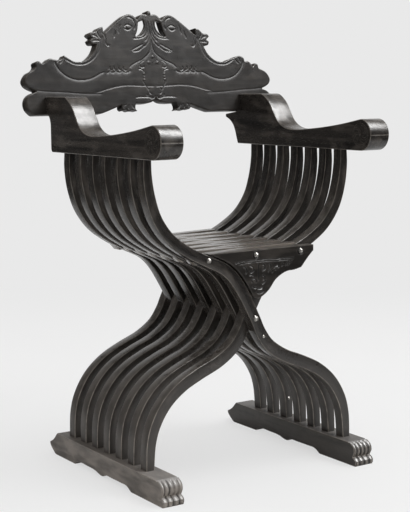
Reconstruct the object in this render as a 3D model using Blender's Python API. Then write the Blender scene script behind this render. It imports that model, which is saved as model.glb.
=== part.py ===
"""Folding armchair of interlaced S-curved staves, with a slatted seat that folds at its middle,
scroll arms, runner feet and a pierced crest board.

Metres, +Z up. The chair faces -Y, and X = 0 is its middle plane. Left and right are those of
someone who looks at its front. The origin is on the floor, at the middle of the overall box.
Odd layers of the stack, counted from the front, hold the staves of the left arm, and even layers
those of the right arm.
"""

import math

import bmesh
import bpy
from mathutils import Matrix, Vector

# Clearances
GAP = 0.0003  # between pieces that touch
LIP_GAP = 0.0004  # between the apron's lip and the stave that it passes over
LAYER_GAP = 0.0006  # between neighbouring staves
END_GAP = 0.0012  # between a slat's tapered end and the stave's edge
OVERRUN = 0.010  # by which a cutter runs past what it cuts

# Whole chair
OVERALL_DEPTH = 0.517
STAVES_PER_SET = 7
PIVOT_HEIGHT = 0.328

# Staves
STAVE_WIDTH = 0.0245
STAVE_THICKNESS = 0.0244
ARM_SPREAD = 0.2450  # from the middle plane to a stave's centre, at the arm
FOOT_SPREAD = 0.2345  # the same, at the foot
TENON_WIDTH = 0.009
ARM_TENON_LENGTH = 0.018
FOOT_TENON_LENGTH = 0.025
POINTS_PER_SPAN = 2

# Arms
ARM_UNDERSIDE = 0.657
ARM_HEIGHT = 0.114
ARM_WIDTH = 0.049
ROLL_RADIUS = 0.032
ROLL_POINTS = 12
ROLL_OVERHANG = 0.089  # from the roll's front to the front staves
LEFT_ARM_TAIL = 0.002  # from the back of the stack to the left arm's rear face

# Runner feet
RUNNER_HEIGHT = 0.0485
RUNNER_WIDTH = 0.048
RUNNER_LENGTH = 0.475
RUNNER_OVERHANG = 0.060  # from the paw's front to the front staves

# Rods, pins and nails
ROD_SIDES = 12
PIVOT_ROD_RADIUS = 0.0035
SEAT_ROD_RADIUS = 0.0030
WASHER_WIDTH = 0.0022  # by which a washer is wider than its rod
WASHER_THICKNESS = 0.0012
HEAD_HEIGHT = 0.0020
NAIL_RADIUS = 0.0012
NAIL_LENGTH = 0.012
NAIL_HEAD_RADIUS = 0.0032
NAIL_HEAD_HEIGHT = 0.0015

# Seat
SEAT_ROD_SPREAD = 0.1105  # from the middle plane to each seat rod
SEAT_ROD_RISE = 0.0026  # of the left seat rod above the stave's centre line
SEAT_SAG = 0.003  # by which the left rod lies lower than the right one
SLAT_HEIGHT = 0.020
SLAT_OVER_ROD = 0.010
SLAT_END = 0.0325  # from a seat rod to the slat's outer end
SLAT_SKEW = 0.017  # by which a slat's outer end is cut back at its underside
APRON_PROUD = 0.003  # by which the apron stands in front of the staves
APRON_THICKNESS = 0.023
APRON_DROP = 0.098

# Crest board
CREST_WIDTH = 0.625
CREST_RISE = 0.221
CREST_THICKNESS = 0.022
CREST_BOTTOM = 0.7335
CREST_SETBACK = 0.0188  # from the back of the stack to the board's lower front edge
CREST_RAKE = math.radians(8.17)
DOWEL_RADIUS = 0.004
DOWEL_DEPTH = 0.020
DOWEL_SPACING = 0.026

# Worked out from the sizes above
LAYER_PITCH = STAVE_THICKNESS + LAYER_GAP
STACK_FRONT = ROLL_OVERHANG - OVERALL_DEPTH / 2
STACK_DEPTH = (2 * STAVES_PER_SET - 1) * LAYER_PITCH + STAVE_THICKNESS
STACK_BACK = STACK_FRONT + STACK_DEPTH
ARM_RISE = ARM_UNDERSIDE - GAP - PIVOT_HEIGHT
FOOT_DROP = PIVOT_HEIGHT - RUNNER_HEIGHT - GAP
CREST_FOOT_Y = STACK_BACK + CREST_SETBACK
CREST_LENGTH = CREST_RISE / math.cos(CREST_RAKE)

# A stave's centre line from the left arm to the right foot: sideways and upward shares of its
# spread and rise above the pivot, or of its spread and drop below it, and a share of the width.
UPPER_STAVE_SHARES = (
    (-1.000, 1.000, 0.68), (-1.000, 0.900, 0.77), (-0.975, 0.775, 0.84), (-0.915, 0.645, 0.85),
    (-0.800, 0.530, 0.86), (-0.640, 0.445, 0.87), (-0.460, 0.378, 0.89), (-0.300, 0.322, 0.95),
    (-0.190, 0.245, 1.00), (-0.095, 0.135, 1.00), (0.000, 0.000, 0.94),
)
LOWER_STAVE_SHARES = (
    (0.055, -0.100, 0.97), (0.145, -0.205, 1.02), (0.300, -0.295, 1.05), (0.500, -0.365, 1.05),
    (0.680, -0.440, 1.02), (0.830, -0.545, 0.97), (0.935, -0.680, 0.91), (0.985, -0.820, 0.84),
    (1.000, -1.000, 0.74),
)

# An arm's top from its roll to its rear: shares of the overall depth and of the arm's height.
ARM_TOP_SHARES = (
    (0.183, 0.465), (0.303, 0.395), (0.412, 0.351), (0.484, 0.333), (0.533, 0.342), (0.572, 0.386),
    (0.609, 0.491), (0.638, 0.658), (0.663, 0.816), (0.693, 0.930), (0.728, 1.000),
)
# The right arm's cove behind the crest board: shares of the way from the board's front to the
# arm's rear, and of the height from the arm's underside to the board.
COVE_SHARES = (
    (1.00, 0.797), (0.72, 0.706), (0.50, 0.562), (0.36, 0.366), (0.265, 0.157), (0.19, 0.015),
)
# The left arm's flare under the crest board: shares of the way from the arm's rear face to the
# board, and of the height from the arm's underside to the board.
FLARE_SHARES = ((0.50, 0.965), (0.16, 0.86), (0.00, 0.72), (0.00, 0.09), (-0.25, 0.00))

# A runner's side, from its upper front edge: shares of its length and of its height.
RUNNER_SHARES = (
    (0.042, 1.000), (0.926, 1.000), (0.940, 0.880), (0.954, 0.740), (0.972, 0.610), (1.000, 0.480),
    (0.998, 0.385), (0.985, 0.247), (0.964, 0.103), (0.943, 0.000), (0.758, 0.000), (0.743, 0.103),
    (0.722, 0.165), (0.640, 0.185), (0.560, 0.150), (0.532, 0.085), (0.500, 0.072), (0.484, 0.150),
    (0.421, 0.180), (0.340, 0.185), (0.295, 0.175), (0.269, 0.062), (0.257, 0.000), (0.006, 0.000),
    (0.000, 0.062), (0.000, 0.227), (0.008, 0.309), (0.021, 0.371), (0.016, 0.454), (0.010, 0.577),
    (0.011, 0.742), (0.021, 0.887),
)

# The apron's lower edge from its outer end to its tip: shares of the seat rod's spread, and of
# the apron's drop below the seat.
APRON_SHARES = (
    (1.303, -0.122), (1.222, -0.204), (1.023, -0.449), (0.860, -0.490), (0.706, -0.500),
    (0.543, -0.571), (0.425, -0.663), (0.299, -0.837), (0.181, -0.939), (0.109, -0.980),
    (0.054, -1.000),
)
APRON_TIP_SHARE = -0.980  # where the apron leaves the stave's edge
# The back of the tip is cut away below this line, in the same shares, to clear the front stave.
REBATE_SHARES = (
    (-0.60, -0.622), (-0.217, -0.622), (-0.090, -0.765), (0.000, -0.842), (0.090, -0.888),
    (0.200, -0.923), (0.362, -0.969), (0.362, -1.200), (-0.60, -1.200),
)

# The crest board's edge: shares of its half width and of its height. The palmette and the
# dolphin's head and fin, from the top, are the same on both sides, and so is the lower edge.
CREST_TOP_SHARES = (
    (0.000, 1.000), (0.011, 0.993), (0.016, 0.977), (0.018, 0.959), (0.046, 0.966), (0.074, 0.948),
    (0.088, 0.923), (0.098, 0.910), (0.106, 0.923), (0.130, 0.950), (0.160, 0.961), (0.190, 0.953),
    (0.221, 0.928), (0.291, 0.857), (0.373, 0.767), (0.376, 0.835), (0.406, 0.824), (0.440, 0.785),
    (0.482, 0.774), (0.491, 0.753), (0.466, 0.724), (0.488, 0.701), (0.478, 0.670), (0.437, 0.663),
    (0.445, 0.636), (0.466, 0.584), (0.496, 0.543), (0.531, 0.511), (0.570, 0.498), (0.608, 0.498),
    (0.653, 0.525),
)
LEFT_TAIL_SHARES = (
    (0.690, 0.557), (0.709, 0.523), (0.763, 0.518), (0.802, 0.527), (0.824, 0.505), (0.856, 0.482),
    (0.888, 0.505), (0.910, 0.486), (0.910, 0.450),
)
RIGHT_TAIL_SHARES = (
    (0.686, 0.536), (0.725, 0.557), (0.750, 0.557), (0.779, 0.536), (0.786, 0.500), (0.814, 0.505),
    (0.856, 0.450), (0.872, 0.482), (0.898, 0.473), (0.907, 0.432),
)
CREST_SIDE_SHARES = (
    (0.928, 0.419), (0.965, 0.394), (0.989, 0.355), (1.000, 0.317), (0.989, 0.276), (0.960, 0.247),
    (0.923, 0.226), (0.923, 0.217), (0.960, 0.199), (0.989, 0.161), (1.000, 0.109), (0.992, 0.057),
    (0.970, 0.020), (0.947, 0.000), (0.450, 0.000), (0.410, 0.014), (0.371, 0.032), (0.320, 0.057),
    (0.280, 0.077), (0.283, 0.045), (0.269, 0.025), (0.251, 0.032), (0.224, 0.018), (0.200, 0.023),
    (0.158, 0.018), (0.171, 0.038), (0.171, 0.063), (0.163, 0.093), (0.069, 0.093), (0.037, 0.102),
    (0.013, 0.122),
)
CREST_MIDDLE_SHARE = 0.140  # height of the point at the middle of the lower edge
# The pierced slit beside the palmette's stem.
SLIT_SHARES = (
    (0.050, 0.905), (0.091, 0.885), (0.096, 0.844), (0.101, 0.812), (0.112, 0.776), (0.120, 0.751),
    (0.117, 0.744), (0.102, 0.749), (0.078, 0.776), (0.056, 0.814), (0.045, 0.857),
)

NAIL_PLACES = ((1, -0.139), (5, -0.843))  # a left arm stave, and a share of the drop to its foot


def layer_y(layer):
    """Front face of a layer of the stack, which are counted from 0 at the front."""
    return STACK_FRONT + layer * LAYER_PITCH


def catmull_rom(stations, per_span):
    """A smooth curve through the stations, each a tuple of numbers."""
    first = tuple(2 * a - b for a, b in zip(stations[0], stations[1]))
    last = tuple(2 * a - b for a, b in zip(stations[-1], stations[-2]))
    padded = [first, *stations, last]
    curve = []
    for p0, p1, p2, p3 in zip(padded, padded[1:], padded[2:], padded[3:]):
        for step in range(per_span):
            t = step / per_span
            curve.append(
                tuple(
                    b + (c - a) * t / 2
                    + (2 * a - 5 * b + 4 * c - d) * t**2 / 2
                    + (3 * b - a - 3 * c + d) * t**3 / 2
                    for a, b, c, d in zip(p0, p1, p2, p3)
                )
            )
    curve.append(tuple(stations[-1]))
    return curve


def stave_centre():
    """Centre line of a left arm stave from its arm to its foot, as x, z and width."""
    upper = [(x * ARM_SPREAD, PIVOT_HEIGHT + z * ARM_RISE, w * STAVE_WIDTH) for x, z, w in UPPER_STAVE_SHARES]
    lower = [(x * FOOT_SPREAD, PIVOT_HEIGHT + z * FOOT_DROP, w * STAVE_WIDTH) for x, z, w in LOWER_STAVE_SHARES]
    return catmull_rom(upper + lower, POINTS_PER_SPAN)


def offset_edge(centre, side, extra):
    """One edge of the stave, side +1 for the upper and inner one, moved out by extra."""
    edge = []
    for i, (x, z, width) in enumerate(centre):
        along = Vector((0, -1))
        if 0 < i < len(centre) - 1:
            before, after = centre[i - 1], centre[i + 1]
            along = Vector((after[0] - before[0], after[1] - before[1])).normalized()
        reach = side * (width / 2 + extra)
        edge.append((x - along.y * reach, z + along.x * reach))
    return edge


def crossing(line, height, slope):
    """Where a run of points first comes down through z = height + slope * x."""
    for (xa, za), (xb, zb) in zip(line, line[1:]):
        da = za - slope * xa - height
        db = zb - slope * xb - height
        if da >= 0 > db:
            t = da / (da - db)
            return (xa + (xb - xa) * t, za + (zb - za) * t)
    raise ValueError("the line never comes down to that height")


def edge_between(line, low, high, slope):
    """The stretch of a falling run of points between two parallel lines, lowest point first."""
    kept = [p for p in line if low < p[1] - slope * p[0] < high]
    return [crossing(line, low, slope), *reversed(kept), crossing(line, high, slope)]


def mirrored(points):
    return [(-x, z) for x, z in points]


def moved(points, dx, dz):
    return [(x + dx, z + dz) for x, z in points]


def hole(centre, rod_radius):
    """A round hole whose flats clear a rod of this radius."""
    radius = (rod_radius + GAP) / math.cos(math.pi / ROD_SIDES)
    turns = [2 * math.pi * i / ROD_SIDES for i in range(ROD_SIDES)]
    return [(centre[0] + radius * math.cos(t), centre[1] + radius * math.sin(t)) for t in turns]


CENTRE = stave_centre()
UPPER_CENTRE = [(x, z) for x, z, _ in CENTRE if z >= PIVOT_HEIGHT]
INNER_EDGE = [p for p in offset_edge(CENTRE, 1, END_GAP) if p[1] > PIVOT_HEIGHT]


def centre_height_at(x):
    """Height of a left arm stave's centre line at x, above the pivot."""
    for (xa, za), (xb, zb) in zip(UPPER_CENTRE, UPPER_CENTRE[1:]):
        if xa <= x <= xb and xb > xa:
            return za + (zb - za) * (x - xa) / (xb - xa)
    raise ValueError("the centre line doesn't reach that far sideways")


LEFT_ROD_Z = centre_height_at(-SEAT_ROD_SPREAD) + SEAT_ROD_RISE
RIGHT_ROD_Z = LEFT_ROD_Z + SEAT_SAG
SEAT_TOP = RIGHT_ROD_Z + SLAT_OVER_ROD
PIVOT = (0, PIVOT_HEIGHT)
LEFT_ROD = (-SEAT_ROD_SPREAD, LEFT_ROD_Z)
RIGHT_ROD = (SEAT_ROD_SPREAD, RIGHT_ROD_Z)
SEAT_CENTRE = (0, RIGHT_ROD_Z)


# Building blocks


def finish_mesh(bm, name, smooth_angle=None):
    bmesh.ops.recalc_face_normals(bm, faces=bm.faces)
    mesh = bpy.data.meshes.new(name)
    bm.to_mesh(mesh)
    bm.free()
    if smooth_angle is not None:
        mesh.shade_smooth()
        mesh.set_sharp_from_angle(angle=smooth_angle)
    return mesh


def extruded(name, loops, to_point, step):
    """A plate bounded by the first loop and pierced by the others, swept along step."""
    bm = bmesh.new()
    for loop in loops:
        verts = [bm.verts.new(to_point(a, b)) for a, b in loop]
        for i, vert in enumerate(verts):
            bm.edges.new((verts[i - 1], vert))
    bmesh.ops.triangle_fill(bm, edges=bm.edges, use_beauty=True)
    swept = bmesh.ops.extrude_face_region(bm, geom=bm.faces[:])
    new_verts = [item for item in swept["geom"] if isinstance(item, bmesh.types.BMVert)]
    bmesh.ops.translate(bm, verts=new_verts, vec=step)
    return finish_mesh(bm, name)


def front_plate(name, loops, thickness):
    """Loops in x and z, swept back along +Y from y = 0."""
    return extruded(name, loops, lambda x, z: Vector((x, 0, z)), Vector((0, thickness, 0)))


def side_bar(name, outline, width):
    """An outline in y and z, swept across the bar's width, with x = 0 at its middle."""
    return extruded(name, [outline], lambda y, z: Vector((-width / 2, y, z)), Vector((width, 0, 0)))


def turned(name, profile, direction="Y"):
    """A closed solid turned from (radius, along) pairs that start and end on the axis."""
    bm = bmesh.new()
    verts = [bm.verts.new((radius, along, 0)) for radius, along in profile]
    for a, b in zip(verts, verts[1:]):
        bm.edges.new((a, b))
    axis = Vector((0, 1, 0))
    around = 2 * math.pi
    bmesh.ops.spin(bm, geom=bm.verts[:] + bm.edges[:], axis=axis, cent=Vector(), angle=around, steps=ROD_SIDES)
    bmesh.ops.remove_doubles(bm, verts=bm.verts, dist=GAP / ROD_SIDES)
    if direction == "Z":
        bmesh.ops.rotate(bm, verts=bm.verts, matrix=Matrix.Rotation(math.radians(90), 3, "X"))
    return finish_mesh(bm, name, math.radians(40))


def boxes(name, places, size):
    """Equal boxes, each centred on a place."""
    bm = bmesh.new()
    for place in places:
        matrix = Matrix.Translation(place) @ Matrix.Diagonal((*size, 1))
        bmesh.ops.create_cube(bm, size=1, matrix=matrix)
    return finish_mesh(bm, name)


def make_material(name, colour, roughness, metallic):
    material = bpy.data.materials.new(name)
    material.use_nodes = True
    shader = material.node_tree.nodes["Principled BSDF"]
    shader.inputs["Base Color"].default_value = (*colour, 1)
    shader.inputs["Roughness"].default_value = roughness
    shader.inputs["Metallic"].default_value = metallic
    return material


def walnut(name):
    return make_material(name + "_walnut", (0.060, 0.036, 0.023), 0.45, 0)


def iron(name):
    return make_material(name + "_iron", (0.30, 0.29, 0.28), 0.40, 1)


def add_axis(name, place, parent=None):
    """An empty on a joint's axis, which carries one moving group of pieces."""
    empty = bpy.data.objects.new(name, None)
    bpy.context.scene.collection.objects.link(empty)
    return put(empty, place, parent)


def put(obj, place, parent):
    """Stands an object at a place of the chair, under its parent."""
    obj["place"] = tuple(place)
    obj.parent = parent
    carried_from = Vector(parent["place"]) if parent else Vector()
    obj.location = Vector(place) - carried_from
    return obj


def add_piece(name, mesh, place, parent, material):
    piece = bpy.data.objects.new(name, mesh)
    piece.data.materials.clear()
    piece.data.materials.append(material)
    bpy.context.scene.collection.objects.link(piece)
    return put(piece, place, parent)


def cut(piece, cutter_mesh, place):
    """Cuts a mesh, placed in the chair's own axes, out of a piece."""
    cutter = bpy.data.objects.new(cutter_mesh.name, cutter_mesh)
    cutter.hide_render = True
    cutter.display_type = "WIRE"
    bpy.context.scene.collection.objects.link(cutter)
    put(cutter, place, piece)
    modifier = piece.modifiers.new(cutter_mesh.name, "BOOLEAN")
    modifier.operation = "DIFFERENCE"
    modifier.solver = "EXACT"
    modifier.object = cutter
    return cutter


# Staves


def stave_outline():
    """A left arm stave with its two tenons, in x and z."""
    inner = offset_edge(CENTRE, 1, 0)
    outer = offset_edge(CENTRE, -1, 0)
    top = PIVOT_HEIGHT + ARM_RISE
    bottom = PIVOT_HEIGHT - FOOT_DROP
    half = TENON_WIDTH / 2
    arm_tenon = [
        (-ARM_SPREAD - half, top),
        (-ARM_SPREAD - half, top + ARM_TENON_LENGTH),
        (-ARM_SPREAD + half, top + ARM_TENON_LENGTH),
        (-ARM_SPREAD + half, top),
    ]
    foot_tenon = [
        (FOOT_SPREAD + half, bottom),
        (FOOT_SPREAD + half, bottom - FOOT_TENON_LENGTH),
        (FOOT_SPREAD - half, bottom - FOOT_TENON_LENGTH),
        (FOOT_SPREAD - half, bottom),
    ]
    return arm_tenon + inner + foot_tenon + outer[::-1]


def nail_place(share):
    """A point on the stave's centre line, this share of the drop below the pivot."""
    height = PIVOT_HEIGHT + share * FOOT_DROP
    return crossing([(x, z) for x, z, _ in CENTRE], height, 0)


def stave_mesh(name, side, nail_shares=()):
    """Side -1 for the left arm's staves, +1 for the right arm's, seen from the front."""
    outline = stave_outline()
    rod = LEFT_ROD
    if side > 0:
        outline = mirrored(outline)
        rod = RIGHT_ROD
    loops = [outline, hole(PIVOT, PIVOT_ROD_RADIUS), hole(rod, SEAT_ROD_RADIUS)]
    loops += [hole(nail_place(share), NAIL_RADIUS) for share in nail_shares]
    local = [moved(loop, 0, -PIVOT_HEIGHT) for loop in loops]
    return front_plate(name, local, STAVE_THICKNESS)


def add_staves(left_frame, right_frame):
    for n in range(1, STAVES_PER_SET + 1):
        nails = [share for stave, share in NAIL_PLACES if stave == n]
        left_name = f"left_arm_stave_{n}"
        left_place = (0, layer_y(2 * n - 2), PIVOT_HEIGHT)
        add_piece(left_name, stave_mesh(left_name, -1, nails), left_place, left_frame, walnut(left_name))
        right_name = f"right_arm_stave_{n}"
        right_place = (0, layer_y(2 * n - 1), PIVOT_HEIGHT)
        add_piece(right_name, stave_mesh(right_name, 1), right_place, right_frame, walnut(right_name))


# Rods, pins and nails


def dome(radius, height, base, outward):
    """A low round head from its crown to its rim, as (radius, along) pairs."""
    turns = [math.radians(a) for a in (0, 35, 65, 90)]
    return [(radius * math.sin(t), base + outward * height * math.cos(t)) for t in turns]


def rod_profile(radius, front, back, front_head=True, back_head=True):
    """A rod whose washers and riveted heads hold what lies between front and back."""
    profile = []
    if front_head:
        face = front - GAP
        crown = face - WASHER_THICKNESS
        profile += dome(radius + WASHER_WIDTH / 2, HEAD_HEIGHT, crown, -1)
        profile += [(radius + WASHER_WIDTH, crown), (radius + WASHER_WIDTH, face), (radius, face)]
    else:
        profile += [(0, front), (radius, front)]
    if back_head:
        face = back + GAP
        crown = face + WASHER_THICKNESS
        profile += [(radius, face), (radius + WASHER_WIDTH, face), (radius + WASHER_WIDTH, crown)]
        profile += reversed(dome(radius + WASHER_WIDTH / 2, HEAD_HEIGHT, crown, 1))
    else:
        profile += [(radius, back), (0, back)]
    return profile


def add_rods(left_frame, right_frame):
    rods = (
        ("pivot_rod", PIVOT, PIVOT_ROD_RADIUS, 0, right_frame),
        ("left_seat_rod", LEFT_ROD, SEAT_ROD_RADIUS, 0, left_frame),
        ("right_seat_rod", RIGHT_ROD, SEAT_ROD_RADIUS, -APRON_PROUD, right_frame),
    )
    for name, (x, z), radius, front, parent in rods:
        mesh = turned(name, rod_profile(radius, front, STACK_DEPTH))
        add_piece(name, mesh, (x, STACK_FRONT, z), parent, iron(name))


def add_nails(left_frame):
    profile = [
        *dome(NAIL_HEAD_RADIUS, NAIL_HEAD_HEIGHT, -GAP, -1),
        (NAIL_RADIUS, -GAP),
        (NAIL_RADIUS, NAIL_LENGTH),
        (0, NAIL_LENGTH),
    ]
    for n, (stave, share) in enumerate(NAIL_PLACES, 1):
        name = f"stave_nail_{n}"
        x, z = nail_place(share)
        place = (x, layer_y(2 * stave - 2), z)
        add_piece(name, turned(name, profile), place, left_frame, iron(name))


# Arms


def roll():
    """The scroll at an arm's front, from its underside round to its top, in y and z."""
    centre_y = -OVERALL_DEPTH / 2 + ROLL_RADIUS
    centre_z = ARM_UNDERSIDE + ROLL_RADIUS
    turns = [math.pi * (1 - i / ROLL_POINTS) for i in range(ROLL_POINTS + 1)]
    return [(centre_y - ROLL_RADIUS * math.sin(t), centre_z + ROLL_RADIUS * math.cos(t)) for t in turns]


def arm_top():
    front = -OVERALL_DEPTH / 2
    return [(front + y * OVERALL_DEPTH, ARM_UNDERSIDE + z * ARM_HEIGHT) for y, z in ARM_TOP_SHARES]


def board_y(z):
    """Front face of the raked crest board at a height."""
    return CREST_FOOT_Y + math.tan(CREST_RAKE) * (z - CREST_BOTTOM)


def arm_rear(side):
    """The rear of an arm from its top down to its underside, in y and z."""
    top = ARM_UNDERSIDE + ARM_HEIGHT
    clear = GAP / math.cos(CREST_RAKE)
    seat_z = CREST_BOTTOM - clear
    rise = CREST_BOTTOM - ARM_UNDERSIDE
    points = [(board_y(top) - clear, top), (board_y(seat_z) - clear, seat_z)]
    if side > 0:
        depth = OVERALL_DEPTH / 2 - CREST_FOOT_Y
        slope = math.tan(CREST_RAKE)
        points.append((OVERALL_DEPTH / 2, seat_z - slope * depth))
        points += [(CREST_FOOT_Y + y * depth, ARM_UNDERSIDE + z * rise) for y, z in COVE_SHARES]
    else:
        rear = STACK_BACK + LEFT_ARM_TAIL
        depth = board_y(seat_z) - clear - rear
        points += [(rear + y * depth, ARM_UNDERSIDE + z * rise) for y, z in FLARE_SHARES]
    return points


def arm_mortises(name, side):
    """Slots for the tenons of one set of staves, in the chair's own axes."""
    first = 0 if side < 0 else 1
    depth = ARM_TENON_LENGTH + OVERRUN
    middle = ARM_UNDERSIDE + ARM_TENON_LENGTH - depth / 2
    size = (TENON_WIDTH + 2 * GAP, STAVE_THICKNESS + 2 * GAP, depth)
    layers = [first + 2 * n for n in range(STAVES_PER_SET)]
    places = [(0, layer_y(layer) + STAVE_THICKNESS / 2, middle) for layer in layers]
    return boxes(name, places, size)


def add_arm(name, side, parent):
    outline = roll() + arm_top() + arm_rear(side)
    place = (side * ARM_SPREAD, 0, 0)
    arm = add_piece(name, side_bar(name, outline, ARM_WIDTH), place, parent, walnut(name))
    cut(arm, arm_mortises(name + "_mortises", side), place)
    return arm


# Runner feet


def runner_outline():
    front = STACK_FRONT - RUNNER_OVERHANG
    return [(front + y * RUNNER_LENGTH, z * RUNNER_HEIGHT) for y, z in RUNNER_SHARES]


def add_runner(name, side, parent):
    """The left runner, side -1, holds the right arm's staves, and the right one the left arm's."""
    place = (side * FOOT_SPREAD, 0, 0)
    runner = add_piece(name, side_bar(name, runner_outline(), RUNNER_WIDTH), place, parent, walnut(name))
    first = 1 if side < 0 else 0
    depth = FOOT_TENON_LENGTH + 2 * GAP + OVERRUN
    middle = RUNNER_HEIGHT + OVERRUN - depth / 2
    size = (TENON_WIDTH + 2 * GAP, STAVE_THICKNESS + 2 * GAP, depth)
    layers = [first + 2 * n for n in range(STAVES_PER_SET)]
    places = [(0, layer_y(layer) + STAVE_THICKNESS / 2, middle) for layer in layers]
    cut(runner, boxes(name + "_mortises", places, size), place)
    return runner


# Seat


def slat_loops(slope):
    """A slat of the right half, with its pivot holes. Its line falls by slope to the right."""
    low = SEAT_TOP - SLAT_HEIGHT
    end = SEAT_ROD_SPREAD + SLAT_END
    outline = edge_between(INNER_EDGE, low, SEAT_TOP, slope)
    skewed = end - SLAT_SKEW
    outline += [(end, SEAT_TOP + slope * end), (skewed, low + slope * skewed)]
    rod = (SEAT_ROD_SPREAD, RIGHT_ROD_Z + slope * SEAT_ROD_SPREAD)
    return [outline, hole(SEAT_CENTRE, SEAT_ROD_RADIUS), hole(rod, SEAT_ROD_RADIUS)]


def add_slats(left_seat, right_seat):
    right_local = [moved(loop, -RIGHT_ROD[0], -RIGHT_ROD[1]) for loop in slat_loops(0)]
    left_loops = [mirrored(loop) for loop in slat_loops(-SEAT_SAG / SEAT_ROD_SPREAD)]
    left_local = [moved(loop, -LEFT_ROD[0], -LEFT_ROD[1]) for loop in left_loops]
    for n in range(1, STAVES_PER_SET + 1):
        left_name = f"left_seat_slat_{n}"
        left_mesh = front_plate(left_name, left_local, STAVE_THICKNESS)
        left_place = (LEFT_ROD[0], layer_y(2 * n - 1), LEFT_ROD[1])
        add_piece(left_name, left_mesh, left_place, left_seat, walnut(left_name))
        if n > 1:
            right_name = f"right_seat_slat_{n}"
            right_mesh = front_plate(right_name, right_local, STAVE_THICKNESS)
            right_place = (RIGHT_ROD[0], layer_y(2 * n - 2), RIGHT_ROD[1])
            add_piece(right_name, right_mesh, right_place, right_seat, walnut(right_name))


def add_centre_pins(right_seat):
    """Short lengths of the rod at the seat's middle, one in the apron and one in each right slat."""
    for n in range(1, STAVES_PER_SET + 1):
        name = f"seat_centre_pin_{n}"
        if n == 1:
            profile = rod_profile(SEAT_ROD_RADIUS, 0, APRON_THICKNESS, back_head=False)
            front = STACK_FRONT - APRON_PROUD
        else:
            profile = rod_profile(SEAT_ROD_RADIUS, 0, STAVE_THICKNESS, False, False)
            front = layer_y(2 * n - 2)
        place = (SEAT_CENTRE[0], front, SEAT_CENTRE[1])
        add_piece(name, turned(name, profile), place, right_seat, iron(name))


def apron_points(shares):
    return [(x * SEAT_ROD_SPREAD, SEAT_TOP + z * APRON_DROP) for x, z in shares]


def add_apron(right_seat):
    tip = SEAT_TOP + APRON_TIP_SHARE * APRON_DROP
    lower = apron_points(APRON_SHARES)
    outline = edge_between(INNER_EDGE, tip, SEAT_TOP, 0)
    outline += [(lower[0][0], SEAT_TOP)]
    outline += lower
    loops = [outline, hole(SEAT_CENTRE, SEAT_ROD_RADIUS), hole(RIGHT_ROD, SEAT_ROD_RADIUS)]
    local = [moved(loop, -RIGHT_ROD[0], -RIGHT_ROD[1]) for loop in loops]
    place = (RIGHT_ROD[0], STACK_FRONT - APRON_PROUD, RIGHT_ROD[1])
    mesh = front_plate("seat_apron", local, APRON_THICKNESS)
    apron = add_piece("seat_apron", mesh, place, right_seat, walnut("seat_apron"))
    rebate = moved(apron_points(REBATE_SHARES), -RIGHT_ROD[0], -RIGHT_ROD[1])
    lip_back = STACK_FRONT - LIP_GAP
    cutter = front_plate("seat_apron_rebate", [rebate], APRON_THICKNESS + OVERRUN)
    cut(apron, cutter, (RIGHT_ROD[0], lip_back, RIGHT_ROD[1]))
    return apron


# Crest board


def crest_outline():
    """The whole edge of the crest board in x and in height along the board."""
    half = CREST_WIDTH / 2
    right = CREST_TOP_SHARES + RIGHT_TAIL_SHARES + CREST_SIDE_SHARES
    left = CREST_TOP_SHARES[1:] + LEFT_TAIL_SHARES + CREST_SIDE_SHARES
    points = [(x * half, z * CREST_LENGTH) for x, z in right]
    points.append((0, CREST_MIDDLE_SHARE * CREST_LENGTH))
    points += [(-x * half, z * CREST_LENGTH) for x, z in reversed(left)]
    return points


def raked(mesh):
    """Leans a mesh back by the crest board's rake, about its lower front edge."""
    mesh.transform(Matrix.Rotation(-CREST_RAKE, 4, "X"))
    return mesh


def dowel_places():
    """Foot of each dowel hole's axis, relative to the board's lower front edge before its rake."""
    middles = (ARM_SPREAD - DOWEL_SPACING / 2, ARM_SPREAD + DOWEL_SPACING / 2)
    return [Vector((x, CREST_THICKNESS / 2, 0)) for x in middles]


def dowel_holes(name):
    """Both dowel holes as one cutter, open at the joint between board and arm."""
    bm = bmesh.new()
    radius = (DOWEL_RADIUS + GAP) / math.cos(math.pi / ROD_SIDES)
    for place in dowel_places():
        matrix = Matrix.Translation(place)
        bmesh.ops.create_cone(
            bm, cap_ends=True, segments=ROD_SIDES, radius1=radius, radius2=radius,
            depth=2 * (DOWEL_DEPTH + GAP), matrix=matrix,
        )
    return raked(finish_mesh(bm, name))


def add_crest(crest, right_arm):
    half = CREST_WIDTH / 2
    foot = (0, CREST_FOOT_Y, CREST_BOTTOM)
    slits = [[(side * x * half, z * CREST_LENGTH) for x, z in SLIT_SHARES] for side in (-1, 1)]
    mesh = raked(front_plate("crest_board", [crest_outline(), *slits], CREST_THICKNESS))
    board = add_piece("crest_board", mesh, foot, crest, walnut("crest_board"))
    cut(board, dowel_holes("crest_board_dowel_holes"), foot)
    cut(right_arm, dowel_holes("right_arm_dowel_holes"), foot)
    profile = [(0, -DOWEL_DEPTH), (DOWEL_RADIUS, -DOWEL_DEPTH), (DOWEL_RADIUS, DOWEL_DEPTH), (0, DOWEL_DEPTH)]
    for n, place in enumerate(dowel_places(), 1):
        name = f"crest_dowel_{n}"
        dowel = turned(name, profile, "Z")
        dowel.transform(Matrix.Translation(place))
        add_piece(name, raked(dowel), foot, crest, walnut(name))


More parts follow.
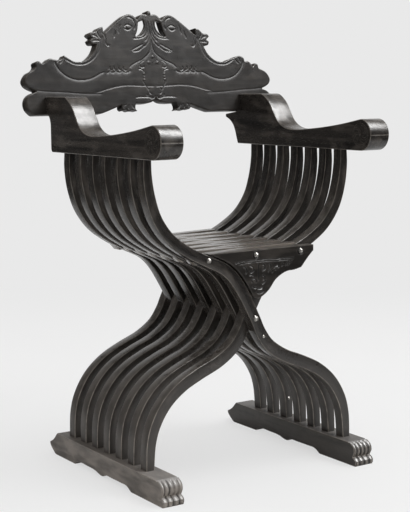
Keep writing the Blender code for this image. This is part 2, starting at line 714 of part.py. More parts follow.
def main():
    for obj in list(bpy.data.objects):
        bpy.data.objects.remove(obj)
    right_frame = add_axis("right_frame", (0, 0, 0))
    left_frame = add_axis("left_frame", (0, STACK_FRONT, PIVOT_HEIGHT), right_frame)
    right_seat = add_axis("right_seat", (RIGHT_ROD[0], STACK_FRONT, RIGHT_ROD[1]), right_frame)
    left_seat = add_axis("left_seat", (LEFT_ROD[0], STACK_FRONT, LEFT_ROD[1]), left_frame)
    crest = add_axis("crest", (0, CREST_FOOT_Y, CREST_BOTTOM), right_frame)
    add_staves(left_frame, right_frame)
    add_arm("left_arm", -1, left_frame)
    right_arm = add_arm("right_arm", 1, right_frame)
    add_runner("left_runner", -1, right_frame)
    add_runner("right_runner", 1, left_frame)
    add_rods(left_frame, right_frame)
    add_nails(left_frame)
    add_slats(left_seat, right_seat)
    add_centre_pins(right_seat)
    add_apron(right_seat)
    add_crest(crest, right_arm)
    print("seat height", round(SEAT_TOP, 4), "left rod", LEFT_ROD, "right rod", RIGHT_ROD)


main()
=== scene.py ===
"""Dresses the folding armchair: interlaced waxed walnut staves, scroll arms, runner feet with
carved paws, a slatted seat, a carved apron, a pierced and carved crest board, and dull iron rods.

Metres, +Z up, and the chair faces -Y. Left and right are those of someone who looks at its front.
"""

import logging
import math
from collections.abc import Callable, Sequence
from dataclasses import dataclass, replace
from enum import Enum

import bmesh
import bpy
import numpy as np
from bmesh.types import BMesh, BMVert
from mathutils import Matrix, Vector


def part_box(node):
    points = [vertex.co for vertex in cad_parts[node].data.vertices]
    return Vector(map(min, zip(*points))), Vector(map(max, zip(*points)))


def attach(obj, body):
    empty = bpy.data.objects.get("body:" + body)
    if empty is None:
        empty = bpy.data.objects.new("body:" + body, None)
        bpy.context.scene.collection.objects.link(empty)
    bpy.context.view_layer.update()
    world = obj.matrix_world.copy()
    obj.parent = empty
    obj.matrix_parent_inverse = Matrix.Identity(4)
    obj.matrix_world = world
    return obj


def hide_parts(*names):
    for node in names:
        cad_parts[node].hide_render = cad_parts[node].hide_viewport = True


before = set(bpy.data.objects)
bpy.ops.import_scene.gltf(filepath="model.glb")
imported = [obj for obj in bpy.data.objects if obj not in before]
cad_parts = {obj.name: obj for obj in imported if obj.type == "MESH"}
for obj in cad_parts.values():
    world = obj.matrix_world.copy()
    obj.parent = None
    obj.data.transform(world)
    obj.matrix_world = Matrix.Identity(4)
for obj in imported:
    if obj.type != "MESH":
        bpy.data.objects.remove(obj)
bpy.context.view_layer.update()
LOG = logging.getLogger("armchair")

Point = tuple[float, float]
Triple = tuple[float, float, float]
Colour = Triple
Station = Triple  # a place on a stave's centre line, in x and z, and the stave's width there
Socket = bpy.types.NodeSocket

WEAR_AND_HIGHLIGHT = "wear_and_highlight"  # attribute: 1 on an arris that hands and cloths have rubbed, paled as wear and as a painted highlight
HOLLOW_SHADE = "hollow_shade"  # attribute: 1 at the bottom of a carved line, which is darkened as painted shade and old wax
GRAIN = "grain"  # attribute: metres along the grain, across it and through it

# A stave's centre line from the left arm to the right foot: sideways and upward shares of its
# spread and rise above the pivot, or of its spread and drop below it, and a share of the width.
UPPER_STAVE_SHARES = (
    (-1.000, 1.000, 0.68), (-1.000, 0.900, 0.77), (-0.975, 0.775, 0.84), (-0.915, 0.645, 0.85),
    (-0.800, 0.530, 0.86), (-0.640, 0.445, 0.87), (-0.460, 0.378, 0.89), (-0.300, 0.322, 0.95),
    (-0.190, 0.245, 1.00), (-0.095, 0.135, 1.00), (0.000, 0.000, 0.94),
)
LOWER_STAVE_SHARES = (
    (0.055, -0.100, 0.97), (0.145, -0.205, 1.02), (0.300, -0.295, 1.05), (0.500, -0.365, 1.05),
    (0.680, -0.440, 1.02), (0.830, -0.545, 0.97), (0.935, -0.680, 0.91), (0.985, -0.820, 0.84),
    (1.000, -1.000, 0.74),
)

# An arm's top from its roll to its rear: shares of the overall depth and of the arm's height.
ARM_TOP_SHARES = (
    (0.183, 0.465), (0.303, 0.395), (0.412, 0.351), (0.484, 0.333), (0.533, 0.342), (0.572, 0.386),
    (0.609, 0.491), (0.638, 0.658), (0.663, 0.816), (0.693, 0.930), (0.728, 1.000),
)
# The right arm's cove behind the crest board, and the left arm's flare under it.
COVE_SHARES = (
    (1.00, 0.797), (0.72, 0.706), (0.50, 0.562), (0.36, 0.366), (0.265, 0.157), (0.19, 0.015),
)
FLARE_SHARES = ((0.50, 0.965), (0.16, 0.86), (0.00, 0.72), (0.00, 0.09), (-0.25, 0.00))

# A runner's side, from its upper front edge: shares of its length and of its height.
RUNNER_SHARES = (
    (0.042, 1.000), (0.052, 0.970), (0.060, 1.000), (0.926, 1.000), (0.940, 0.880), (0.954, 0.740),
    (0.972, 0.610), (1.000, 0.480), (0.998, 0.385), (0.985, 0.247), (0.964, 0.103), (0.943, 0.000),
    (0.758, 0.000), (0.743, 0.103), (0.722, 0.165), (0.640, 0.185), (0.560, 0.150), (0.532, 0.085),
    (0.500, 0.072), (0.484, 0.150), (0.421, 0.180), (0.340, 0.185), (0.295, 0.175), (0.269, 0.062),
    (0.257, 0.000), (0.006, 0.000), (0.000, 0.062), (0.000, 0.227), (0.008, 0.309), (0.021, 0.371),
    (0.016, 0.454), (0.010, 0.577), (0.011, 0.742), (0.021, 0.887),
)

# The apron's lower edge from its outer end to its tip: shares of the seat rod's spread, and of
# the apron's drop below the seat. The back of the tip is cut away to clear the front stave.
APRON_SHARES = (
    (1.303, -0.122), (1.222, -0.204), (1.023, -0.449), (0.860, -0.490), (0.706, -0.500),
    (0.543, -0.571), (0.425, -0.663), (0.299, -0.837), (0.181, -0.939), (0.109, -0.980),
    (0.054, -1.000),
)
REBATE_SHARES = (
    (-0.60, -0.622), (-0.217, -0.622), (-0.090, -0.765), (0.000, -0.842), (0.090, -0.888),
    (0.200, -0.923), (0.362, -0.969), (0.362, -1.200), (-0.60, -1.200),
)

# The crest board's edge: shares of its half width and of its height. The palmette and the
# dolphin's head and fin, from the top, are the same on both sides, and so is the lower edge.
CREST_TOP_SHARES = (
    (0.000, 1.000), (0.011, 0.993), (0.016, 0.977), (0.018, 0.959), (0.046, 0.966), (0.074, 0.948),
    (0.088, 0.923), (0.098, 0.910), (0.106, 0.923), (0.130, 0.950), (0.160, 0.961), (0.190, 0.953),
    (0.221, 0.928), (0.291, 0.857), (0.373, 0.767), (0.376, 0.835), (0.406, 0.824), (0.440, 0.785),
    (0.482, 0.774), (0.491, 0.753), (0.466, 0.724), (0.488, 0.701), (0.478, 0.670), (0.437, 0.663),
    (0.445, 0.636), (0.466, 0.584), (0.496, 0.543), (0.531, 0.511), (0.570, 0.498), (0.608, 0.498),
    (0.653, 0.525),
)
LEFT_TAIL_SHARES = (
    (0.690, 0.557), (0.709, 0.523), (0.763, 0.518), (0.802, 0.527), (0.824, 0.505), (0.856, 0.482),
    (0.888, 0.505), (0.910, 0.486), (0.910, 0.450),
)
RIGHT_TAIL_SHARES = (
    (0.686, 0.536), (0.725, 0.557), (0.750, 0.557), (0.779, 0.536), (0.786, 0.500), (0.814, 0.505),
    (0.856, 0.450), (0.872, 0.482), (0.898, 0.473), (0.907, 0.432),
)
CREST_SIDE_SHARES = (
    (0.928, 0.419), (0.965, 0.394), (0.989, 0.355), (1.000, 0.317), (0.989, 0.276), (0.960, 0.247),
    (0.923, 0.226), (0.923, 0.217), (0.960, 0.199), (0.989, 0.161), (1.000, 0.109), (0.992, 0.057),
    (0.970, 0.020), (0.947, 0.000), (0.450, 0.000), (0.410, 0.014), (0.371, 0.032), (0.320, 0.057),
    (0.280, 0.077), (0.283, 0.045), (0.269, 0.025), (0.251, 0.032), (0.224, 0.018), (0.200, 0.023),
    (0.158, 0.018), (0.171, 0.038), (0.171, 0.063), (0.163, 0.093), (0.069, 0.093), (0.037, 0.102),
    (0.013, 0.122),
)
SLIT_SHARES = (
    (0.050, 0.905), (0.091, 0.885), (0.096, 0.844), (0.101, 0.812), (0.112, 0.776), (0.120, 0.751),
    (0.117, 0.744), (0.102, 0.749), (0.078, 0.776), (0.056, 0.814), (0.045, 0.857),
)


class Side(Enum):
    """A side of the chair, as seen from its front, and the way to it along X."""

    LEFT = -1
    RIGHT = 1

    @property
    def word(self) -> str:
        """The side's name as it stands in the names of pieces."""
        return self.name.lower()


class Run(Enum):
    """The way that a piece's grain runs, as the order of its along, across and through axes."""

    SIDEWAYS = (0, 2, 1)
    LENGTHWISE = (1, 0, 2)


class Cut(Enum):
    """What a carver's stroke leaves behind."""

    VEIN = "a groove with sloping sides"
    LEDGE = "a step, with the ground sunk on the stroke's left hand"
    RIDGE = "a raised line"
    BEAD = "a raised round dot"


# Lines and outlines


def catmull_rom(stations: Sequence[tuple[float, ...]], per_span: int) -> list[tuple[float, ...]]:
    """Draws a smooth curve through evenly spaced stations.

    Args:
        stations: Points of any number of values each.
        per_span: Steps from one station to the next.

    Returns:
        The curve's points, first and last station included.
    """
    first = tuple(2 * a - b for a, b in zip(stations[0], stations[1]))
    last = tuple(2 * a - b for a, b in zip(stations[-1], stations[-2]))
    padded = [first, *stations, last]
    curve: list[tuple[float, ...]] = []
    for p0, p1, p2, p3 in zip(padded, padded[1:], padded[2:], padded[3:]):
        for step in range(per_span):
            t = step / per_span
            curve.append(
                tuple(
                    b + (c - a) * t / 2
                    + (2 * a - 5 * b + 4 * c - d) * t**2 / 2
                    + (3 * b - a - 3 * c + d) * t**3 / 2
                    for a, b, c, d in zip(p0, p1, p2, p3)
                )
            )
    curve.append(tuple(stations[-1]))
    return curve


@dataclass(frozen=True)
class Spline:
    """The way given points are joined: smooth bends, straight runs and crisp corners."""

    per_span: int = 3
    corner: float = math.radians(50)
    straight: float = 4.0  # a span this many times as long as its neighbour stays straight

    def lean(self, before: Vector, after: Vector, span: Vector) -> Vector:
        """Finds the line's direction at a point.

        Args:
            before: The way from the point before.
            after: The way to the point after.
            span: The one of the two that is being drawn.

        Returns:
            A unit vector.
        """
        if before.length == 0 or after.length == 0 or before.angle(after) > self.corner:
            return span.normalized()
        if before.length > self.straight * after.length:
            return before.normalized()
        if after.length > self.straight * before.length:
            return after.normalized()
        blended = before.normalized() * after.length + after.normalized() * before.length
        return blended.normalized()

    def draw(self, points: Sequence[Point], closed: bool) -> list[Point]:
        """Joins the points.

        Args:
            points: The given points.
            closed: Whether the last point joins the first.

        Returns:
            The points of the finished line.
        """
        last = len(points) - 1
        drawn: list[Point] = []

        def at(index: int) -> Vector:
            """The point at an index, held or wrapped at the ends."""
            held = index % len(points) if closed else max(0, min(last, index))
            return Vector(points[held])

        for i in range(len(points) if closed else last):
            start, end = at(i), at(i + 1)
            span = end - start
            away = self.lean(start - at(i - 1), span, span) * span.length
            into = self.lean(span, at(i + 2) - end, span) * span.length
            for step in range(self.per_span):
                t = step / self.per_span
                spot = (
                    start * (2 * t**3 - 3 * t**2 + 1)
                    + away * (t**3 - 2 * t**2 + t)
                    + end * (3 * t**2 - 2 * t**3)
                    + into * (t**3 - t**2)
                )
                drawn.append((spot.x, spot.y))
        if not closed:
            drawn.append(tuple(points[-1]))
        return drawn


@dataclass(frozen=True)
class ChairPlan:
    """The sizes and lines that several sub-assemblies share."""

    gap: float = 0.0003
    overall_depth: float = 0.517
    staves_per_set: int = 7
    pivot_height: float = 0.328
    stave_width: float = 0.0245
    stave_thickness: float = 0.0244
    layer_gap: float = 0.0006
    arm_spread: float = 0.2450
    foot_spread: float = 0.2345
    arm_underside: float = 0.657
    runner_height: float = 0.0485
    roll_overhang: float = 0.089
    end_gap: float = 0.0012
    seat_rod_spread: float = 0.1105
    seat_rod_rise: float = 0.0026
    seat_sag: float = 0.003
    slat_over_rod: float = 0.010
    apron_proud: float = 0.003
    crest_setback: float = 0.0188
    crest_bottom: float = 0.7335
    crest_rake: float = math.radians(8.17)
    stave_spans: int = 7
    plan_spans: int = 2

    @property
    def layer_pitch(self) -> float:
        """From one stave's front to the next one's."""
        return self.stave_thickness + self.layer_gap

    @property
    def stack_front(self) -> float:
        """The front of the foremost stave."""
        return self.roll_overhang - self.overall_depth / 2

    @property
    def stack_depth(self) -> float:
        """From the front of the first stave to the back of the last."""
        return (2 * self.staves_per_set - 1) * self.layer_pitch + self.stave_thickness

    @property
    def stack_back(self) -> float:
        """The back of the last stave."""
        return self.stack_front + self.stack_depth

    @property
    def crest_foot(self) -> Vector:
        """The middle of the crest board's lower front edge."""
        return Vector((0, self.stack_back + self.crest_setback, self.crest_bottom))

    def layer_front(self, layer: int) -> float:
        """The front of a layer of the stack, counted from 0."""
        return self.stack_front + layer * self.layer_pitch

    def centre_line(self, per_span: int) -> list[Station]:
        """Draws a left arm stave's centre line, from its arm to its foot.

        Args:
            per_span: Steps from one station to the next.

        Returns:
            Points as x, z and the stave's width there.
        """
        rise = self.arm_underside - self.gap - self.pivot_height
        drop = self.pivot_height - self.runner_height - self.gap
        stations = [
            (x * self.arm_spread, self.pivot_height + z * rise, w * self.stave_width)
            for x, z, w in UPPER_STAVE_SHARES
        ]
        stations += [
            (x * self.foot_spread, self.pivot_height + z * drop, w * self.stave_width)
            for x, z, w in LOWER_STAVE_SHARES
        ]
        return catmull_rom(stations, per_span)

    @property
    def left_rod(self) -> Point:
        """The left seat rod's place, in x and z.

        Returns:
            The place, a little above the staves' centre line.
        """
        upper = [(x, z) for x, z, _ in self.centre_line(self.plan_spans) if z >= self.pivot_height]
        x = -self.seat_rod_spread
        for (xa, za), (xb, zb) in zip(upper, upper[1:]):
            if xa <= x <= xb and xb > xa:
                return (x, za + (zb - za) * (x - xa) / (xb - xa) + self.seat_rod_rise)
        raise ValueError("the centre line doesn't reach the seat rod")

    @property
    def right_rod(self) -> Point:
        """The right seat rod's place, in x and z."""
        return (self.seat_rod_spread, self.left_rod[1] + self.seat_sag)

    @property
    def seat_top(self) -> float:
        """The height of the right half of the seat."""
        return self.right_rod[1] + self.slat_over_rod

    def board_y(self, z: float) -> float:
        """The crest board's front face at a height."""
        return self.crest_foot.y + math.tan(self.crest_rake) * (z - self.crest_bottom)


def edge_line(centre: Sequence[Station], hand: int, extra: float = 0.0) -> list[Point]:
    """Finds one edge of a stave.

    Args:
        centre: The stave's centre line, as x, z and width.
        hand: +1 for the upper and inner edge, -1 for the other.
        extra: How far outside the edge the line lies.

    Returns:
        The edge's points in x and z.
    """
    edge: list[Point] = []
    for i, (x, z, width) in enumerate(centre):
        along = Vector((0, -1))
        if 0 < i < len(centre) - 1:
            before, after = centre[i - 1], centre[i + 1]
            along = Vector((after[0] - before[0], after[1] - before[1])).normalized()
        reach = hand * (width / 2 + extra)
        edge.append((x - along.y * reach, z + along.x * reach))
    return edge


def crossing(line: Sequence[Point], height: float, slope: float) -> Point:
    """Finds where a falling run of points meets a level or sloping line.

    Args:
        line: The run of points in x and z.
        height: The line's height at x = 0.
        slope: Its rise along x.

    Returns:
        The meeting point.
    """
    for (xa, za), (xb, zb) in zip(line, line[1:]):
        da = za - slope * xa - height
        db = zb - slope * xb - height
        if da >= 0 > db:
            t = da / (da - db)
            return (xa + (xb - xa) * t, za + (zb - za) * t)
    raise ValueError("the line never comes down to that height")


def edge_between(line: Sequence[Point], low: float, high: float, slope: float) -> list[Point]:
    """The stretch of a falling run of points between two parallel lines, lowest point first."""
    kept = [p for p in line if low < p[1] - slope * p[0] < high]
    return [crossing(line, low, slope), *reversed(kept), crossing(line, high, slope)]


# Mesh work


def front_point(x: float, z: float) -> Vector:
    """A point of an outline that is seen from the front."""
    return Vector((x, 0, z))


def side_point(y: float, z: float) -> Vector:
    """A point of an outline that is seen from the side."""
    return Vector((0, y, z))


def circle(radius: float, steps: int, middle: Point = (0.0, 0.0)) -> list[Point]:
    """Evenly spaced points of a circle."""
    turns = [2 * math.pi * i / steps for i in range(steps)]
    return [(middle[0] + radius * math.cos(t), middle[1] + radius * math.sin(t)) for t in turns]


def thicken(bm: BMesh, step: Vector) -> None:
    """Sweeps a flat mesh into a closed solid.

    Args:
        bm: The flat mesh.
        step: The sweep.
    """
    swept = bmesh.ops.extrude_face_region(bm, geom=bm.faces[:])
    far = [item for item in swept["geom"] if isinstance(item, BMVert)]
    bmesh.ops.translate(bm, verts=far, vec=step)
    bmesh.ops.recalc_face_normals(bm, faces=bm.faces)


def slice_across(bm: BMesh, x: float, touch: float) -> None:
    """Adds a line of vertices all round a solid, where it passes an x."""
    geom = bm.verts[:] + bm.edges[:] + bm.faces[:]
    bmesh.ops.bisect_plane(bm, geom=geom, dist=touch, plane_co=(x, 0, 0), plane_no=(1, 0, 0))


def plate(
    loops: Sequence[Sequence[Point]],
    to_point: Callable[[float, float], Vector],
    start: Vector,
    step: Vector,
) -> BMesh:
    """Sweeps a flat shape into a solid.

    Args:
        loops: The outline, then the outlines of any openings.
        to_point: Turns an outline's pair of values into a point.
        start: Moves the flat shape to where the sweep begins.
        step: The sweep.

    Returns:
        The closed solid.
    """
    bm = bmesh.new()
    for loop in loops:
        verts = [bm.verts.new(to_point(a, b) + start) for a, b in loop]
        if len(loops) == 1:
            bm.faces.new(verts)
        else:
            for i, vert in enumerate(verts):
                bm.edges.new((verts[i - 1], vert))
    if len(loops) > 1:
        bmesh.ops.triangle_fill(bm, edges=bm.edges, use_beauty=True)
    thicken(bm, step)
    return bm


@dataclass(frozen=True)
class Easing:
    """The way that a piece's arrises are rounded over."""

    width: float  # how far a rounding reaches onto each face
    segments: int
    crisp: float  # two faces that turn by more than this meet in an arris

    def round_over(self, bm: BMesh) -> None:
        """Rounds the arrises and marks the middle of each rounding, to be paled by rubbing and as a
        painted highlight.

        Args:
            bm: The mesh.
        """
        wear_and_highlight_mark = bm.verts.layers.float.get(WEAR_AND_HIGHLIGHT) or bm.verts.layers.float.new(WEAR_AND_HIGHLIGHT)
        arrises = [
            e for e in bm.edges if len(e.link_faces) == 2 and e.calc_face_angle() > self.crisp
        ]
        made = bmesh.ops.bevel(
            bm, geom=arrises, offset=self.width, offset_type="OFFSET", affect="EDGES",
            segments=self.segments, profile=0.5, material=-1, clamp_overlap=False,
        )
        rounded = set(made["faces"])
        for vert in made["verts"]:
            if all(face in rounded for face in vert.link_faces):
                vert[wear_and_highlight_mark] = 1.0


def lay_grain(bm: BMesh, run: Run, shift: float) -> None:
    """Writes how the grain runs through a straight piece.

    Args:
        bm: The mesh.
        run: The way of the grain.
        shift: Moves the figure along, so that no two pieces look alike.
    """
    layer = bm.verts.layers.float_vector.new(GRAIN)
    for vert in bm.verts:
        along, across, through = (vert.co[i] for i in run.value)
        vert[layer] = Vector((along + shift, across + shift, through))


def as_mesh(bm: BMesh, name: str) -> bpy.types.Mesh:
    """Turns a working mesh into mesh data.

    Args:
        bm: The working mesh, which is freed.
        name: The new data's name.

    Returns:
        The mesh data.
    """
    mesh = bpy.data.meshes.new(name)
    bm.to_mesh(mesh)
    bm.free()
    return mesh


def stood(name: str, data: bpy.types.ID) -> bpy.types.Object:
    """Stands a mesh, a lamp or a camera in the scene.

    Args:
        name: The new object's name.
        data: What the object shows.

    Returns:
        The object.
    """
    obj = bpy.data.objects.new(name, data)
    bpy.context.scene.collection.objects.link(obj)
    return obj


def trimmed(blank: BMesh, cutter: BMesh, operation: str) -> BMesh:
    """Trims one solid with another.

    Args:
        blank: The solid that is kept.
        cutter: The solid that trims it.
        operation: INTERSECT keeps what lies inside the cutter, DIFFERENCE what lies outside.

    Returns:
        The trimmed solid.
    """
    objects = [stood("trim", as_mesh(bm, "trim")) for bm in (blank, cutter)]
    modifier = objects[0].modifiers.new("trim", "BOOLEAN")
    modifier.operation = operation
    modifier.solver = "EXACT"
    modifier.object = objects[1]
    graph = bpy.context.evaluated_depsgraph_get()
    result = bpy.data.meshes.new_from_object(objects[0].evaluated_get(graph))
    bm = bmesh.new()
    bm.from_mesh(result)
    for obj in objects:
        mesh = obj.data
        bpy.data.objects.remove(obj)
        bpy.data.meshes.remove(mesh)
    bpy.data.meshes.remove(result)
    return bm


@dataclass(frozen=True)
class Piece:
    """What a finished piece is called, what carries it and what it stands for."""

    name: str
    body: str
    slot: str
    stands_for: tuple[str, ...]
    smooth_angle: float = math.radians(38)

    def finish(self, bm: BMesh, material: bpy.types.Material) -> None:
        """Turns a mesh into the finished piece, which rides on its body.

        Args:
            bm: The mesh, which is freed.
            material: Its finish.
        """
        bmesh.ops.recalc_face_normals(bm, faces=bm.faces)
        mesh = as_mesh(bm, self.name)
        mesh.shade_smooth()
        mesh.set_sharp_from_angle(angle=self.smooth_angle)
        mesh.materials.append(material)
        piece = stood(self.name, mesh)
        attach(piece, self.body)
        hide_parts(*self.stands_for)
        LOG.info("%s: %d faces, rides on %s", self.name, len(mesh.polygons), self.body)


# Carving


@dataclass(frozen=True)
class Tool:
    """A carver's tool and how hard it is driven, in metres."""

    cut: Cut
    width: float
    depth: float
    taper: float = 0.005  # the length over which a stroke runs out at either end


@dataclass(frozen=True)
class Stroke:
    """One stroke of a tool."""

    tool: Tool
    points: tuple[Point, ...]


def carved_with(
    tool: Tool, rows: Sequence[Sequence[Point]], to_spot: Callable[[Point], Point]
) -> list[Stroke]:
    """One stroke of a tool for each row of points, which are first turned into spots."""
    return [Stroke(tool, tuple(to_spot(point) for point in row)) for row in rows]


@dataclass
class Carving:
    """A drawing in strokes, cut into a flat face."""

    strokes: Sequence[Stroke]
    spline: Spline = Spline(per_span=4, corner=math.radians(80))
    shoulder: float = 0.0012  # the width of a ledge's slope

    def reach(
        self, spots: np.ndarray, line: np.ndarray
    ) -> tuple[np.ndarray, np.ndarray, np.ndarray]:
        """Measures spots of the face against a stroke's line.

        Args:
            spots: The spots, one row each.
            line: The line's points, one row each.

        Returns:
            Each spot's distance, its hand (+1 left, -1 right), and how far its nearest point
            lies from the nearer end of the line.
        """
        best = np.full(len(spots), np.inf)
        hand = np.ones(len(spots))
        to_end = np.zeros(len(spots))
        steps = np.linalg.norm(np.diff(line, axis=0), axis=1)
        total = float(steps.sum())
        gone = 0.0
        for start, end, length in zip(line, line[1:], steps):
            if length == 0:
                continue
            along = (end - start) / length
            offset = spots - start
            t = np.clip(offset @ along, 0, length)
            apart = np.linalg.norm(offset - t[:, None] * along, axis=1)
            closer = apart < best
            best[closer] = apart[closer]
            turned = along[0] * offset[:, 1] - along[1] * offset[:, 0]
            hand[closer] = np.sign(turned)[closer]
            place = gone + t
            to_end[closer] = np.minimum(place, total - place)[closer]
            gone += length
        return best, hand, to_end

    def heights(self, spots: np.ndarray) -> np.ndarray:
        """Finds how high the carved face stands.

        Args:
            spots: Spots of the face, one row each, in metres.

        Returns:
            Each spot's height over the plain face.
        """
        sunk = np.zeros(len(spots))
        raised = np.zeros(len(spots))
        for stroke in self.strokes:
            tool = stroke.tool
            if tool.cut is Cut.BEAD:
                apart = np.linalg.norm(spots - np.array(stroke.points[0]), axis=1)
                share = np.clip(1 - (apart / tool.width) ** 2, 0, 1)
                raised = np.maximum(raised, tool.depth * np.sqrt(share))
                continue
            line = np.array(self.spline.draw(stroke.points, closed=False))
            apart, hand, to_end = self.reach(spots, line)
            strength = tool.depth * np.clip(to_end / tool.taper, 0, 1)
            if tool.cut is Cut.LEDGE:
                low = np.exp(-apart / tool.width)
                high = np.clip(1 - apart / self.shoulder, 0, 1)
                sunk = np.minimum(sunk, -strength * np.where(hand > 0, low, high))
            else:
                shape = strength * np.exp(-((apart / tool.width) ** 2))
                if tool.cut is Cut.VEIN:
                    sunk = np.minimum(sunk, -shape)
                else:
                    raised = np.maximum(raised, shape)
        return sunk + raised


@dataclass
class CarvedPlate:
    """A plate with a shaped edge and a carved, eased front. It is made upright, front at y = 0."""

    outline: Sequence[Point]
    openings: Sequence[Sequence[Point]]
    thickness: float
    carving: Carving
    fold: bool = False  # whether the drawing repeats, mirrored, left of x = 0
    pitch: float = 0.00115
    round_over: float = 0.0022
    round_drop: float = 0.75  # the share of a full quarter round by which the rim sinks
    margin: float = 0.004
    # how strongly a convex crest is paled, as wear and painted highlight
    mark_gain: float = 3.0
    lip: float = 0.004  # the straight part of an opening, before it widens to the back
    clearance: float = 1.02  # how much wider than the opening the widening starts
    flare: float = 1.95  # how much wider an opening is behind than in front
    wax_and_shade_depth: float = 0.0009  # the depth at which a hollow is full of old wax and darkest in painted shade
    wax_and_shade_gather: float = 1.5  # the power by which the wax and the painted shade keep to the deepest part

    def blank(self) -> BMesh:
        """Makes a slab with a finely divided front.

        Returns:
            The slab, which stands over the outline by the margin.
        """
        xs, zs = zip(*self.outline)
        width = max(xs) - min(xs) + 2 * self.margin
        height = max(zs) - min(zs) + 2 * self.margin
        bm = bmesh.new()
        across, up = round(width / self.pitch), round(height / self.pitch)
        bmesh.ops.create_grid(bm, x_segments=across, y_segments=up, size=0.5)
        bmesh.ops.scale(bm, verts=bm.verts, vec=(width, height, 1))
        bmesh.ops.rotate(bm, verts=bm.verts, matrix=Matrix.Rotation(math.radians(90), 3, "X"))
        middle = front_point((max(xs) + min(xs)) / 2, (max(zs) + min(zs)) / 2)
        bmesh.ops.translate(bm, verts=bm.verts, vec=middle)
        rim = [e for e in bm.edges if e.is_boundary]
        walls = bmesh.ops.extrude_edge_only(bm, edges=rim)
        far = [item for item in walls["geom"] if isinstance(item, BMVert)]
        bmesh.ops.translate(bm, verts=far, vec=(0, self.thickness, 0))
        back = [e for e in bm.edges if e.is_boundary]
        bmesh.ops.contextual_create(bm, geom=back)
        bmesh.ops.recalc_face_normals(bm, faces=bm.faces)
        return bm

    def carve(self, bm: BMesh) -> None:
        """Sinks the front by the drawing, eases its rim, and marks crests, to be paled by rubbing
        and as painted highlight, and hollows, to be darkened as painted shade and old wax.

        Args:
            bm: The plate, with its front at y = 0.
        """
        wear_and_highlight_mark = bm.verts.layers.float.new(WEAR_AND_HIGHLIGHT)
        hollow_shade = bm.verts.layers.float.new(HOLLOW_SHADE)
        touch = self.pitch / 100
        front = [v for v in bm.verts if abs(v.co.y) < touch]
        spots = np.array([(v.co.x, v.co.z) for v in front])
        drawn = spots.copy()
        if self.fold:
            drawn[:, 0] = np.abs(drawn[:, 0])
        height = self.carving.heights(drawn)
        dirt_and_painted_light = np.clip(-height / self.wax_and_shade_depth, 0, 1) ** self.wax_and_shade_gather
        rim = np.full(len(spots), np.inf)
        for loop in (self.outline, *self.openings):
            closed = np.array([*loop, loop[0]])
            rim = np.minimum(rim, self.carving.reach(spots, closed)[0])
        short = np.clip(1 - rim / self.round_over, 0, 1)
        height = height - self.round_over * (1 - np.sqrt(1 - short**2)) * self.round_drop
        for vert, h in zip(front, height):
            vert.co.y = -h
        inside = set(front)
        for vert, wax_and_shade in zip(front, dirt_and_painted_light):
            turns = [
                (vert.co.y - other.co.y) / max((vert.co - other.co).length, touch)
                for other in (e.other_vert(vert) for e in vert.link_edges)
                if other in inside
            ]
            bend = sum(turns) / len(turns) if turns else 0.0
            # Convex crests are paled as wear and painted highlight; hollows are darkened as painted
            # shade and old wax.
            vert[wear_and_highlight_mark] = min(1.0, max(0.0, -bend * self.mark_gain))
            vert[hollow_shade] = float(wax_and_shade)

    def widening(self, opening: Sequence[Point]) -> BMesh:
        """Makes the wedge that an opening loses towards the plate's back.

        Args:
            opening: The opening's outline.

        Returns:
            The wedge, a third as much higher as it is wider.
        """
        start, step = Vector((0, self.lip, 0)), Vector((0, self.thickness, 0))
        tool = plate([opening], front_point, start, step)
        middle = sum((front_point(*p) for p in opening), Vector()) / len(opening)
        for vert in tool.verts:
            share = (vert.co.y - self.lip) / self.thickness
            grown = self.clearance + (self.flare - self.clearance) * share
            vert.co.x = middle.x + (vert.co.x - middle.x) * grown
            vert.co.z = middle.z + (vert.co.z - middle.z) * (1 + (grown - 1) / 3)
        return tool

    def build(self, placing: Matrix) -> BMesh:
        """Makes the plate.

        Args:
            placing: Takes it from its own axes to its place in the chair.

        Returns:
            The closed solid.
        """
        overrun = Vector((0, self.margin, 0))
        step = Vector((0, self.thickness + 2 * self.margin, 0))
        cutter = plate([self.outline, *self.openings], front_point, -overrun, step)
        bm = trimmed(self.blank(), cutter, "INTERSECT")
        for opening in self.openings:
            bm = trimmed(bm, self.widening(opening), "DIFFERENCE")
        self.carve(bm)
        bmesh.ops.transform(bm, matrix=placing, verts=bm.verts)
        return bm


# Finishes


@dataclass(frozen=True)
class Noise:
    """A noise that is stretched along the grain."""

    stretch: Triple  # cycles per metre along, across and through the grain
    octaves: int
    twist: float = 0.0


